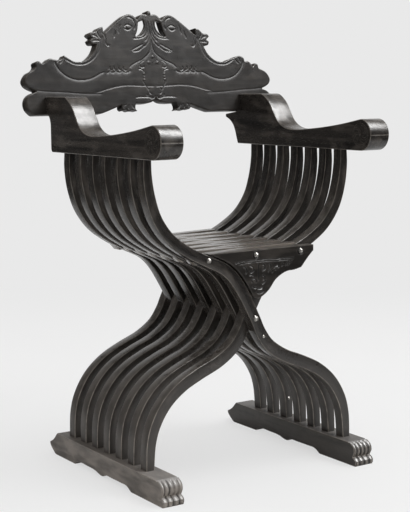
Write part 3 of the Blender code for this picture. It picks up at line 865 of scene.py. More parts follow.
@dataclass
class Bench:
    """A material's node tree, with short ways to add nodes and join them."""

    tree: bpy.types.NodeTree

    def add(self, kind: str, **settings: object) -> bpy.types.Node:
        """Adds a node.

        Args:
            kind: Its type, without the words that all shader nodes start with.
            settings: Some of its settings.

        Returns:
            The node.
        """
        node = self.tree.nodes.new(f"ShaderNode{kind}")
        for name, value in settings.items():
            setattr(node, name, value)
        return node

    def feed(self, target: Socket, source: object) -> None:
        """Joins a socket to a source, or sets it to a plain value.

        Args:
            target: The socket.
            source: Another node's output, or the value.
        """
        if isinstance(source, Socket):
            self.tree.links.new(source, target)
        else:
            target.default_value = source

    def feed_all(self, node: bpy.types.Node, *sources: object) -> Socket:
        """Feeds a node's first inputs in order.

        Args:
            node: The node.
            sources: Other nodes' outputs, or plain values.

        Returns:
            The node's first output.
        """
        for target, source in zip(node.inputs, sources):
            self.feed(target, source)
        return node.outputs[0]

    def noise(self, place: Socket, kind: Noise) -> Socket:
        """Adds a noise.

        Args:
            place: The coordinates.
            kind: Its stretch, octaves and twist.

        Returns:
            The noise's value, about 0.5 on average.
        """
        mapping = self.add("Mapping")
        self.feed(mapping.inputs["Vector"], place)
        mapping.inputs["Scale"].default_value = kind.stretch
        noise = self.add("TexNoise")
        self.feed(noise.inputs["Vector"], mapping.outputs[0])
        noise.inputs["Scale"].default_value = 1.0
        noise.inputs["Detail"].default_value = kind.octaves
        noise.inputs["Distortion"].default_value = kind.twist
        return noise.outputs[0]

    def span(self, value: Socket, over: Point, start: float, end: float) -> Socket:
        """Goes smoothly from start to end as a value goes over a range."""
        node = self.add("MapRange", interpolation_type="SMOOTHSTEP")
        return self.feed_all(node, value, *over, start, end)

    def reckon(self, operation: str, first: object, second: object) -> Socket:
        """Joins two values with a Math node."""
        return self.feed_all(self.add("Math", operation=operation), first, second)

    def times(self, first: object, second: object) -> Socket:
        """The product of two values."""
        return self.reckon("MULTIPLY", first, second)

    def plus(self, first: object, second: object) -> Socket:
        """The sum of two values."""
        return self.reckon("ADD", first, second)

    def blend(self, share: object, first: object, second: object) -> Socket:
        """Goes from the first colour to the second as the share goes from 0 to 1.

        Args:
            share: The share of the second colour.
            first: A colour, or the output that gives it.
            second: Another.

        Returns:
            The blended colour.
        """
        node = self.add("Mix", data_type="RGBA")
        self.feed(node.inputs[0], share)
        colours = [s for s in node.inputs if s.type == "RGBA"]
        for target, source in zip(colours, (first, second)):
            self.feed(target, source if isinstance(source, Socket) else (*source, 1))
        return next(s for s in node.outputs if s.type == "RGBA")

    def either(self, share: Socket, first: Socket, second: Socket) -> Socket:
        """Goes from the first shader to the second as the share goes from 0 to 1."""
        return self.feed_all(self.add("MixShader"), share, first, second)

    def upward(self, coordinate: str) -> Socket:
        """Measures how far up a spot lies, or how far up its face looks.

        Args:
            coordinate: Object for the spot's height, Normal for its face's direction.

        Returns:
            The upward part.
        """
        parts = self.add("SeparateXYZ")
        self.feed(parts.inputs[0], self.add("TexCoord").outputs[coordinate])
        return parts.outputs[2]

    def bump(self, shader: bpy.types.Node, height: Socket, strength: float, depth: float) -> None:
        """Roughens a shader's surface.

        Args:
            shader: The shader.
            height: The relief.
            strength: How much of it shows.
            depth: Its height in metres.
        """
        bump = self.add("Bump")
        bump.inputs["Strength"].default_value = strength
        bump.inputs["Distance"].default_value = depth
        self.feed(bump.inputs["Height"], height)
        self.feed(shader.inputs["Normal"], bump.outputs[0])


def new_material(name: str) -> tuple[bpy.types.Material, Bench, bpy.types.Node]:
    """Starts a material.

    Args:
        name: Its name.

    Returns:
        The material, the bench for its nodes, and its shader.
    """
    material = bpy.data.materials.new(name)
    material.use_nodes = True
    tree = material.node_tree
    return material, Bench(tree), tree.nodes["Principled BSDF"]


@dataclass(frozen=True)
class WalnutFinish:
    """Old waxed walnut: streaked along the grain, open-pored, pale at its arrises from rubbing and
    painted highlight.

    A pair whose name ends in _over holds the values between which its noise sets in.
    """

    name: str
    dark: Colour = (0.0115, 0.0098, 0.0086)
    middle: Colour = (0.0310, 0.0265, 0.0230)
    light: Colour = (0.0600, 0.0515, 0.0445)
    # pales the arrises and carved crests: wear and painted highlight
    rubbed: Colour = (0.300, 0.265, 0.230)
    bloom: Colour = (0.0800, 0.0690, 0.0600)
    # darkens the open pores as grime, and the hollows as painted shade and old wax
    grime_and_shade: Colour = (0.0050, 0.0044, 0.0040)
    # pales the low parts: scuffs, and painted light in the lit copies
    scuffed_and_lit: Colour = (0.0950, 0.0820, 0.0710)
    # pales the faces that look up: dust and painted top light
    dust_and_top_light: Colour = (0.1500, 0.1320, 0.1150)
    streaks: Noise = Noise((2.6, 70.0, 70.0), 5, 0.6)
    clouds: Noise = Noise((4.0, 11.0, 11.0), 3, 0.3)
    pores: Noise = Noise((75.0, 1150.0, 1150.0), 2)
    scuffs: Noise = Noise((55.0, 55.0, 55.0), 6)
    waxing: Noise = Noise((14.0, 45.0, 45.0), 6, 0.4)
    middle_over: Point = (0.32, 0.52)
    light_over: Point = (0.50, 0.78)
    cloud_over: Point = (0.35, 0.70)
    cloud_share: float = 0.55
    pore_over: Point = (0.60, 0.72)
    pore_share: float = 0.6
    dulled_over: Point = (0.48, 0.74)
    dulled_share: float = 0.55  # how much old wax clouds the wood at most
    scuffed_and_lit_heights: Point = (0.03, 0.34)  # between these, the marks of shoes and mops, and the painted light of the lit copies, die out
    patch_over: Point = (0.36, 0.66)
    patch_least: float = 0.30
    scuffed_and_lit_share: float = 0.60
    rub_and_highlight_over: Point = (0.34, 0.60)
    rub_and_highlight_least: float = 0.35
    rub: float = 0.95
    rub_and_highlight_aloft: float = 0.40  # the part of the rubbing and painted highlight that arrises far from the floor keep
    aloft_over: Point = (0.0, 0.8)
    dust_and_top_light_over: Point = (0.10, 0.70)  # how far a face looks up where the dust and painted top light start and are thickest
    dust_and_top_light_least: float = 0.45
    dust_and_top_light_share: float = 0.55  # how much rubbing, dust and painted top light pale the faces that look up at most
    # how much the hollows are darkened, as painted shade and old wax
    hollow_shade_share: float = 0.85
    roughness: float = 0.235
    roughness_play: float = 0.07
    roughness_over: Point = (0.30, 0.70)
    hollow_roughness: float = 0.25
    floor_roughness: float = 0.20
    pore_roughness: float = 0.12
    specular: float = 0.50
    streak_relief: float = 0.5
    scuff_relief: float = 0.45
    pore_relief: float = 0.35
    bump_strength: float = 0.6
    bump_depth: float = 0.00013
    own_grain: bool = True  # whether the piece carries the grain attribute

    def build(self) -> bpy.types.Material:
        """Makes the material.

        Returns:
            The material.
        """
        material, bench, shader = new_material(self.name)
        if self.own_grain:
            place = bench.add("Attribute", attribute_name=GRAIN).outputs["Vector"]
        else:
            place = bench.add("TexCoord").outputs["Object"]
        wear_and_highlight_mark = bench.add("Attribute", attribute_name=WEAR_AND_HIGHLIGHT).outputs["Fac"]
        # the hollows, darkened below as painted shade and old wax
        sunk = bench.add("Attribute", attribute_name=HOLLOW_SHADE).outputs["Fac"]
        kinds = (self.streaks, self.clouds, self.pores, self.scuffs, self.waxing)
        streak, cloud, pore, scuff, wax = (bench.noise(place, kind) for kind in kinds)
        open_pore = bench.span(pore, self.pore_over, 0, 1)
        near_floor = bench.span(bench.upward("Object"), self.scuffed_and_lit_heights, 1, 0)

        figure = bench.blend(bench.span(streak, self.middle_over, 0, 1), self.dark, self.middle)
        figure = bench.blend(bench.span(streak, self.light_over, 0, 1), figure, self.light)
        clouded = bench.span(cloud, self.cloud_over, self.cloud_share, 0)
        figure = bench.blend(clouded, figure, self.dark)
        dulled = bench.span(wax, self.dulled_over, 0, self.dulled_share)
        figure = bench.blend(dulled, figure, self.bloom)
        figure = bench.blend(bench.times(open_pore, self.pore_share), figure, self.grime_and_shade)
        # pale marks near the floor: scuffs, and in the lit copies painted light
        patches = bench.span(wax, self.patch_over, self.patch_least, self.scuffed_and_lit_share)
        figure = bench.blend(bench.times(near_floor, patches), figure, self.scuffed_and_lit)
        # arrises and carved crests paled: rubbing and painted highlight
        patchy = bench.span(scuff, self.rub_and_highlight_over, self.rub_and_highlight_least, self.rub)
        aloft = bench.span(near_floor, self.aloft_over, self.rub_and_highlight_aloft, 1)
        rubbed = bench.times(wear_and_highlight_mark, bench.times(patchy, aloft))
        figure = bench.blend(rubbed, figure, self.rubbed)
        # faces that look up paled: dust and painted top light
        settled_and_lit = bench.span(bench.upward("Normal"), self.dust_and_top_light_over, 0, self.dust_and_top_light_share)
        dirt_and_painted_light = bench.span(scuff, self.rub_and_highlight_over, self.dust_and_top_light_least, 1)
        figure = bench.blend(bench.times(settled_and_lit, dirt_and_painted_light), figure, self.dust_and_top_light)
        # hollows darkened: painted shade and old wax
        figure = bench.blend(bench.times(sunk, self.hollow_shade_share), figure, self.grime_and_shade)
        bench.feed(shader.inputs["Base Color"], figure)

        least = self.roughness - self.roughness_play / 2
        most = self.roughness + self.roughness_play / 2
        rough = bench.span(scuff, self.roughness_over, least, most)
        rough = bench.plus(rough, bench.times(sunk, self.hollow_roughness))
        rough = bench.plus(rough, bench.times(near_floor, self.floor_roughness))
        rough = bench.plus(rough, bench.times(open_pore, self.pore_roughness))
        bench.feed(shader.inputs["Roughness"], rough)
        shader.inputs["Specular IOR Level"].default_value = self.specular

        raised = bench.times(streak, self.streak_relief)
        raised = bench.plus(raised, bench.times(scuff, self.scuff_relief))
        relief = bench.reckon("SUBTRACT", raised, bench.times(open_pore, self.pore_relief))
        bench.bump(shader, relief, self.bump_strength, self.bump_depth)
        return material


@dataclass(frozen=True)
class IronFinish:
    """Old hammered iron, dulled by handling, with a little brown in its pits."""

    name: str
    bright: Colour = (0.52, 0.50, 0.47)
    dull: Colour = (0.22, 0.21, 0.195)
    rust: Colour = (0.060, 0.036, 0.024)
    dents: Noise = Noise((260.0, 260.0, 260.0), 3, 0.2)
    pits: Noise = Noise((900.0, 900.0, 900.0), 4)
    bright_over: Point = (0.35, 0.65)
    rust_over: Point = (0.55, 0.75)
    rust_share: float = 0.8
    rough_over: Point = (0.30, 0.75)
    roughness: Point = (0.24, 0.50)
    metallic: float = 0.85
    bump_strength: float = 0.7
    bump_depth: float = 0.00015

    def build(self) -> bpy.types.Material:
        """Makes the material.

        Returns:
            The material.
        """
        material, bench, shader = new_material(self.name)
        place = bench.add("TexCoord").outputs["Object"]
        dent, pit = bench.noise(place, self.dents), bench.noise(place, self.pits)
        colour = bench.blend(bench.span(dent, self.bright_over, 0, 1), self.dull, self.bright)
        rusted = bench.span(pit, self.rust_over, 0, self.rust_share)
        bench.feed(shader.inputs["Base Color"], bench.blend(rusted, colour, self.rust))
        rough = bench.span(pit, self.rough_over, *self.roughness)
        bench.feed(shader.inputs["Roughness"], rough)
        shader.inputs["Metallic"].default_value = self.metallic
        bench.bump(shader, bench.plus(dent, pit), self.bump_strength, self.bump_depth)
        return material


@dataclass(frozen=True)
class Finishes:
    """The chair's finishes, each made once."""

    frame_wood: bpy.types.Material
    kicked_and_lit_wood: bpy.types.Material
    scuffed_and_lit_wood: bpy.types.Material
    seat_wood_with_sheen: bpy.types.Material
    carved_wood: bpy.types.Material
    inner_wood: bpy.types.Material
    iron: bpy.types.Material

    @classmethod
    def mix(cls) -> "Finishes":
        """Makes all of them.

        Returns:
            The finishes.
        """
        # Few pale marks low down, so the left staves' feet stay dark as painted shade.
        frame_wood = WalnutFinish("frame_walnut_waxed", scuffed_and_lit_share=0.06, dulled_share=0.70)
        # The copy for the right staves: its pale low parts are scuffs and painted light.
        kicked_and_lit_wood = WalnutFinish("frame_walnut_kicked_and_lit")
        # The left runner's paler copy: scuffs, and painted light on its outer side.
        scuffed_and_lit_wood = WalnutFinish(
            "runner_walnut_scuffed_and_lit",
            middle=(0.0550, 0.0475, 0.0410), light=(0.1050, 0.0900, 0.0780),
            scuffed_and_lit=(0.2300, 0.2010, 0.1760), scuffed_and_lit_share=0.90, roughness=0.36,
        )
        # The slats' pale colours are rubbed wood and painted sheen.
        seat_wood_with_sheen = WalnutFinish(
            "seat_walnut_rubbed_and_sheen",
            dark=(0.0950, 0.0830, 0.0720), middle=(0.2000, 0.1750, 0.1530),
            light=(0.3300, 0.2890, 0.2520), bloom=(0.1900, 0.1660, 0.1450),
            roughness=0.15, specular=0.60, bump_depth=0.00006,
        )
        carved_wood = WalnutFinish(
            "carved_walnut_waxed",
            middle=(0.0220, 0.0189, 0.0165), light=(0.0500, 0.0430, 0.0371),
            bloom=(0.0510, 0.0440, 0.0382), rubbed=(0.1500, 0.1320, 0.1150),
            streaks=Noise((5.0, 55.0, 55.0), 5, 0.6), dulled_share=0.65,
            roughness=0.31, roughness_play=0.05, specular=0.20,
        )
        inner_wood = WalnutFinish("inner_walnut_plain", own_grain=False)
        woods = (frame_wood, kicked_and_lit_wood, scuffed_and_lit_wood, seat_wood_with_sheen, carved_wood, inner_wood)
        return cls(*(wood.build() for wood in woods), IronFinish("rod_iron_dull").build())


# Sub-assemblies


@dataclass
class StaveSet:
    """The seven S-curved staves that hang from one arm and stand in the other side's runner."""

    plan: ChairPlan
    side: Side
    easing: Easing = Easing(width=0.0017, segments=3, crisp=math.radians(60))
    bite: float = 0.004  # how far an end runs into the arm or runner
    figure_shift: float = 0.731

    def centre(self) -> list[Station]:
        """Draws the centre line with its ends run into the arm and the runner.

        Returns:
            The line, from the arm to the foot.
        """
        line = self.plan.centre_line(self.plan.stave_spans)
        (x, z, width), (foot_x, foot_z, foot_width) = line[0], line[-1]
        whole = [(x, z + self.bite, width), *line, (foot_x, foot_z - self.bite, foot_width)]
        return [(-self.side.value * x, z, width) for x, z, width in whole]

    def bend(self, centre: Sequence[Station]) -> BMesh:
        """Bends a straight strip to the centre line and gives it its thickness.

        Args:
            centre: The centre line.

        Returns:
            The stave, with its front at y = 0.
        """
        hands = {hand: edge_line(centre, hand) for hand in (-1, 1)}
        last = len(centre) - 1
        bm = bmesh.new()
        bmesh.ops.create_grid(bm, x_segments=1, y_segments=last, size=1)
        for vert in bm.verts:
            edge = hands[1 if vert.co.x > 0 else -1]
            vert.co = front_point(*edge[round((vert.co.y + 1) / 2 * last)])
        thicken(bm, Vector((0, self.plan.stave_thickness, 0)))
        return bm

    def follow_grain(self, bm: BMesh, centre: Sequence[Station], shift: float) -> None:
        """Runs the grain along the bend.

        Args:
            bm: The stave.
            centre: Its centre line.
            shift: Moves the figure along this stave.
        """
        line = np.array([(x, z) for x, z, _ in centre])
        lengths = np.concatenate([[0], np.cumsum(np.linalg.norm(np.diff(line, axis=0), axis=1))])
        layer = bm.verts.layers.float_vector.new(GRAIN)
        for vert in bm.verts:
            spot = np.array((vert.co.x, vert.co.z))
            nearest = int(np.argmin(np.linalg.norm(line - spot, axis=1)))
            nearest = min(max(nearest, 1), len(line) - 2)
            along = line[nearest + 1] - line[nearest - 1]
            along = along / np.linalg.norm(along)
            offset = spot - line[nearest]
            across = along[0] * offset[1] - along[1] * offset[0]
            length = lengths[nearest] + float(offset @ along)
            vert[layer] = Vector((length + shift, across + shift, vert.co.y))

    def build(self, finishes: Finishes) -> None:
        """Makes and places the seven staves.

        Args:
            finishes: The chair's finishes.
        """
        centre = self.centre()
        word = self.side.word
        first = 0 if self.side is Side.LEFT else 1
        # The right staves' feet, on the left, take the copy paled low down by scuffs and painted
        # light; the left staves' feet stay dark as painted shade.
        wood = finishes.kicked_and_lit_wood if self.side is Side.RIGHT else finishes.frame_wood
        for n in range(self.plan.staves_per_set):
            layer = 2 * n + first
            bm = self.bend(centre)
            self.easing.round_over(bm)
            self.follow_grain(bm, centre, self.figure_shift * (layer + 1))
            bmesh.ops.translate(bm, verts=bm.verts, vec=(0, self.plan.layer_front(layer), 0))
            name, node = f"stave_{word}_{n + 1}", f"{word}_arm_stave_{n + 1}"
            Piece(name, f"{word}_frame", "frame_walnut", (node,)).finish(bm, wood)


@dataclass
class ScrollArm:
    """An arm with a scroll at its front and a raised shoulder for the crest board."""

    plan: ChairPlan
    side: Side
    height: float = 0.114
    width: float = 0.049
    bends: Spline = Spline(corner=math.radians(40))
    easing: Easing = Easing(width=0.0017, segments=4, crisp=math.radians(55))
    roll_radius: float = 0.032
    roll_points: int = 24
    left_tail: float = 0.002
    notch_half: float = 0.0008  # the incised line across the roll's front
    notch_depth: float = 0.0005
    shake: Point = (0.062, 0.112)  # a rubbed drying crack down the right arm's shoulder
    shake_half: float = 0.0009
    shake_above: float = 0.30
    rosette_radius: float = 0.0245
    rosette_depth: float = 0.0030
    rosette_proud: float = 0.0003
    rosette_points: int = 48
    boss: Tool = Tool(Cut.BEAD, width=0.0026, depth=0.0016)
    petal: Tool = Tool(Cut.VEIN, width=0.0014, depth=0.0009, taper=0.003)
    petals: int = 7
    petal_arc: tuple[Point, ...] = ((0.20, 0.0), (0.42, 0.16), (0.64, 0.40), (0.84, 0.74))
    petal_play: float = 0.4  # how uneven in depth the petals are
    petal_beat: float = 5.0
    ring: Tool = Tool(Cut.VEIN, width=0.0011, depth=0.0005, taper=0.001)
    ring_share: float = 0.90
    figure_shift: float = 0.417

    @property
    def roll_centre(self) -> Point:
        """The scroll's centre, in y and z."""
        radius = self.roll_radius
        return (-self.plan.overall_depth / 2 + radius, self.plan.arm_underside + radius)

    def roll(self) -> list[Point]:
        """Draws the scroll from its underside round to its top, notched at its front.

        Returns:
            Its points, in y and z.
        """
        y, z = self.roll_centre
        steps = range(self.roll_points + 1)
        stations = [(math.pi * (1 - i / self.roll_points), self.roll_radius) for i in steps]
        middle = self.roll_points // 2
        turn, radius = stations[middle]
        half = self.notch_half / radius
        notch = ((turn + half, radius), (turn, radius - self.notch_depth), (turn - half, radius))
        stations[middle : middle + 1] = notch
        return [(y - r * math.sin(t), z + r * math.cos(t)) for t, r in stations]

    def rear(self) -> list[Point]:
        """Draws the rear from its top down to its underside.

        Returns:
            Its points, in y and z.
        """
        plan = self.plan
        top = plan.arm_underside + self.height
        clear = plan.gap / math.cos(plan.crest_rake)
        seat_z = plan.crest_bottom - clear
        rise = plan.crest_bottom - plan.arm_underside
        points = [(plan.board_y(top) - clear, top), (plan.board_y(seat_z) - clear, seat_z)]
        if self.side is Side.RIGHT:
            start, shares = plan.crest_foot.y, COVE_SHARES
            depth = plan.overall_depth / 2 - start
            points.append((plan.overall_depth / 2, seat_z - math.tan(plan.crest_rake) * depth))
        else:
            start, shares = plan.stack_back + self.left_tail, FLARE_SHARES
            depth = plan.board_y(seat_z) - clear - start
        return points + [(start + y * depth, plan.arm_underside + z * rise) for y, z in shares]

    def outline(self) -> list[Point]:
        """Draws the whole side view.

        Returns:
            Its points, in y and z.
        """
        depth, under = self.plan.overall_depth, self.plan.arm_underside
        top = [(-depth / 2 + y * depth, under + z * self.height) for y, z in ARM_TOP_SHARES]
        roll = self.roll()
        rest = self.bends.draw([roll[-1], *top, *self.rear(), roll[0]], closed=False)
        return roll + rest[1:-1]

    def crack(self, bm: BMesh) -> None:
        """Draws a closed drying crack, paled by rubbing, along the middle of the shoulder's slope.

        Args:
            bm: The arm, about its own middle plane.
        """
        for x in (-self.shake_half, 0, self.shake_half):
            slice_across(bm, x, self.shake_half / 10)
        wear_and_highlight_mark = bm.verts.layers.float[WEAR_AND_HIGHLIGHT]
        start, end = self.shake
        low = self.plan.arm_underside + self.height * self.shake_above
        for vert in bm.verts:
            x, y, z = vert.co
            if abs(x) < self.shake_half / 2 and start < y < end and z > low:
                vert[wear_and_highlight_mark] = 1.0

    def rosette(self) -> CarvedPlate:
        """Draws the carved flower at the end of the roll, about its own centre.

        Returns:
            The flower, ready to be built.
        """
        radius = self.rosette_radius
        rim = circle(radius, self.rosette_points)
        strokes = [Stroke(self.boss, ((0.0, 0.0),))]
        for i in range(self.petals):
            turn = 2 * math.pi * i / self.petals
            arc = [
                (radius * share * math.cos(turn + lag), radius * share * math.sin(turn + lag))
                for share, lag in self.petal_arc
            ]
            uneven = 1 + self.petal_play * math.sin(self.petal_beat * turn)
            tool = replace(self.petal, depth=self.petal.depth * uneven)
            strokes.append(Stroke(tool, tuple(arc)))
        ring = [(self.ring_share * x, self.ring_share * z) for x, z in (*rim, rim[0])]
        strokes.append(Stroke(self.ring, tuple(ring)))
        # A strong mark gain pales the boss and the petals' rims brightly: wear and painted
        # highlight.
        return CarvedPlate(
            rim, (), self.rosette_depth, Carving(strokes),
            pitch=0.0011, round_over=0.0006, mark_gain=9.0,
        )

    def build(self, finishes: Finishes) -> None:
        """Makes the arm and the two rosettes on its roll.

        Args:
            finishes: The chair's finishes.
        """
        outward = self.side.value
        aside = outward * self.plan.arm_spread
        half = self.width / 2
        name, body = f"{self.side.word}_arm", f"{self.side.word}_frame"
        bm = plate([self.outline()], side_point, Vector((-half, 0, 0)), Vector((self.width, 0, 0)))
        self.easing.round_over(bm)
        if self.side is Side.RIGHT:
            self.crack(bm)
        bmesh.ops.translate(bm, verts=bm.verts, vec=(aside, 0, 0))
        lay_grain(bm, Run.LENGTHWISE, self.figure_shift * (outward + 2))
        Piece(f"scroll_{name}", body, "frame_walnut", (name,)).finish(bm, finishes.frame_wood)
        for face in Side:
            reach = aside + face.value * (half + self.rosette_proud)
            turn = Matrix.Rotation(math.radians(90) * face.value, 4, "Z")
            flower = self.rosette().build(Matrix.Translation((reach, *self.roll_centre)) @ turn)
            lay_grain(flower, Run.LENGTHWISE, self.figure_shift * (outward + face.value + 5))
            piece = Piece(f"rosette_{name}_{face.word}", body, "frame_walnut", ())
            piece.finish(flower, finishes.carved_wood)


@dataclass
class RunnerFoot:
    """A floor runner with a two-tiered paw at its front."""

    plan: ChairPlan
    side: Side
    width: float = 0.048
    length: float = 0.475
    overhang: float = 0.060
    bends: Spline = Spline(corner=math.radians(34))
    easing: Easing = Easing(width=0.0013, segments=3, crisp=math.radians(70))
    upper_toes: tuple[float, ...] = (0.0, 0.16, 0.37, 0.58, 0.80, 1.0)  # shares of the width
    lower_toes: tuple[float, ...] = (0.0, 0.24, 0.49, 0.77, 1.0)
    tiers_meet: float = 0.41
    slices: int = 32
    toe_depth: float = 0.0040
    toe_round: float = 0.96  # 1 makes a toe's section a full half round
    toe_onset: float = 2.5  # the parting is full this many times nearer than the paw's front
    groove_from: float = 0.9  # from here to its edge, a toe's flank is darkened as painted shade
    crown_rub_and_highlight: float = 0.8
    crown_fall: float = 1.4  # how fast the rubbing and painted highlight fade from a toe's crown to its edge
    paw_length: float = 0.0225
    figure_shift: float = 0.911

    @property
    def front(self) -> float:
        """The paw's front."""
        return self.plan.stack_front - self.overhang

    def across_toe(self, spot: Vector) -> float:
        """Finds how far a spot lies across its toe.

        Args:
            spot: A spot of the paw, about the runner's own middle plane.

        Returns:
            From -1 at one edge of the toe to 1 at the other.
        """
        upper = spot.z >= self.tiers_meet * self.plan.runner_height
        edges = self.upper_toes if upper else self.lower_toes
        place = min(max(spot.x / self.width + 0.5, 0.0), 1.0)
        for low, high in zip(edges, edges[1:]):
            if place <= high:
                return 2 * (place - low) / (high - low) - 1
        return 1.0

    def shape_toes(self, bm: BMesh) -> None:
        """Parts the paw into round toes, uneven and more of them above than below.

        Args:
            bm: The runner, about its own middle plane.
        """
        for i in range(1, self.slices):
            slice_across(bm, self.width * (i / self.slices - 0.5), self.plan.gap / 10)
        bm.normal_update()
        wear_and_highlight_mark = bm.verts.layers.float.get(WEAR_AND_HIGHLIGHT)
        hollow_shade = bm.verts.layers.float.get(HOLLOW_SHADE) or bm.verts.layers.float.new(HOLLOW_SHADE)
        for vert in bm.verts:
            share = (self.front + self.paw_length - vert.co.y) / self.paw_length
            if share <= 0 or vert.co.z < self.plan.gap:
                continue
            on_flank = abs(vert.co.x) > self.width / 2 - self.plan.gap
            across = 1.0 if on_flank else self.across_toe(vert.co)
            drop = 1 - math.sqrt(max(0.0, 1 - min(1.0, across**2) * self.toe_round))
            strength = min(1.0, share * self.toe_onset)
            inward = Vector((0, vert.normal.y, vert.normal.z))
            vert.co -= inward * (self.toe_depth * drop * strength)
            # The partings between toes are darkened as painted shade; the crowns are paled as wear
            # and painted highlight.
            in_groove = abs(across) > self.groove_from and not on_flank
            vert[hollow_shade] = strength if in_groove else 0.0
            rub = max(0.0, self.crown_rub_and_highlight - abs(across) * self.crown_fall)
            vert[wear_and_highlight_mark] = max(vert[wear_and_highlight_mark], strength * rub)

    def build(self, finishes: Finishes) -> None:
        """Makes the runner.

        Args:
            finishes: The chair's finishes.
        """
        height, half = self.plan.runner_height, self.width / 2
        points = [(self.front + y * self.length, z * height) for y, z in RUNNER_SHARES]
        outline = self.bends.draw(points, closed=True)
        bm = plate([outline], side_point, Vector((-half, 0, 0)), Vector((self.width, 0, 0)))
        self.easing.round_over(bm)
        self.shape_toes(bm)
        aside = self.side.value * self.plan.foot_spread
        bmesh.ops.translate(bm, verts=bm.verts, vec=(aside, 0, 0))
        lay_grain(bm, Run.LENGTHWISE, self.figure_shift * (self.side.value + 2))
        left = self.side is Side.LEFT
        body = "right_frame" if left else "left_frame"
        # The left runner takes the paler copy: scuffs, and painted light on its outer side.
        wood = finishes.scuffed_and_lit_wood if left else finishes.frame_wood
        name = f"{self.side.word}_runner"
        Piece(f"{name}_foot", body, "frame_walnut", (name,)).finish(bm, wood)


@dataclass
class SlattedSeat:
    """The seat's slats, in two halves that meet and turn at its middle."""

    plan: ChairPlan
    height: float = 0.020
    end: float = 0.0325
    skew: float = 0.017  # by which an outer end is cut back at its underside
    easing: Easing = Easing(width=0.0007, segments=2, crisp=math.radians(40))
    figure_shift: float = 0.593

    def outline(self, side: Side) -> list[Point]:
        """Draws a slat of one half.

        Args:
            side: The half.

        Returns:
            Its points, in x and z.
        """
        plan = self.plan
        slope = 0.0 if side is Side.RIGHT else -plan.seat_sag / plan.seat_rod_spread
        beside = edge_line(plan.centre_line(plan.plan_spans), 1, plan.end_gap)
        inner = [p for p in beside if p[1] > plan.pivot_height]
        low = plan.seat_top - self.height
        reach = plan.seat_rod_spread + self.end
        points = edge_between(inner, low, plan.seat_top, slope)
        skewed = reach - self.skew
        points += [(reach, plan.seat_top + slope * reach), (skewed, low + slope * skewed)]
        return [(side.value * x, z) for x, z in points]

    def build(self, finishes: Finishes) -> None:
        """Makes both halves, apart from the front slat, which is the apron.

        Args:
            finishes: The chair's finishes.
        """
        plan = self.plan
        step = Vector((0, plan.stave_thickness, 0))
        for side in Side:
            outline = self.outline(side)
            for n in range(1, plan.staves_per_set + 1):
                layer = 2 * n - 1 if side is Side.LEFT else 2 * n - 2
                if layer == 0:
                    continue
                bm = plate([outline], front_point, Vector((0, plan.layer_front(layer), 0)), step)
                self.easing.round_over(bm)
                lay_grain(bm, Run.SIDEWAYS, self.figure_shift * (layer + 1))
                name, node = f"slat_{side.word}_{n}", f"{side.word}_seat_slat_{n}"
                piece = Piece(name, f"{side.word}_seat", "seat_walnut", (node,))
                piece.finish(bm, finishes.seat_wood_with_sheen)


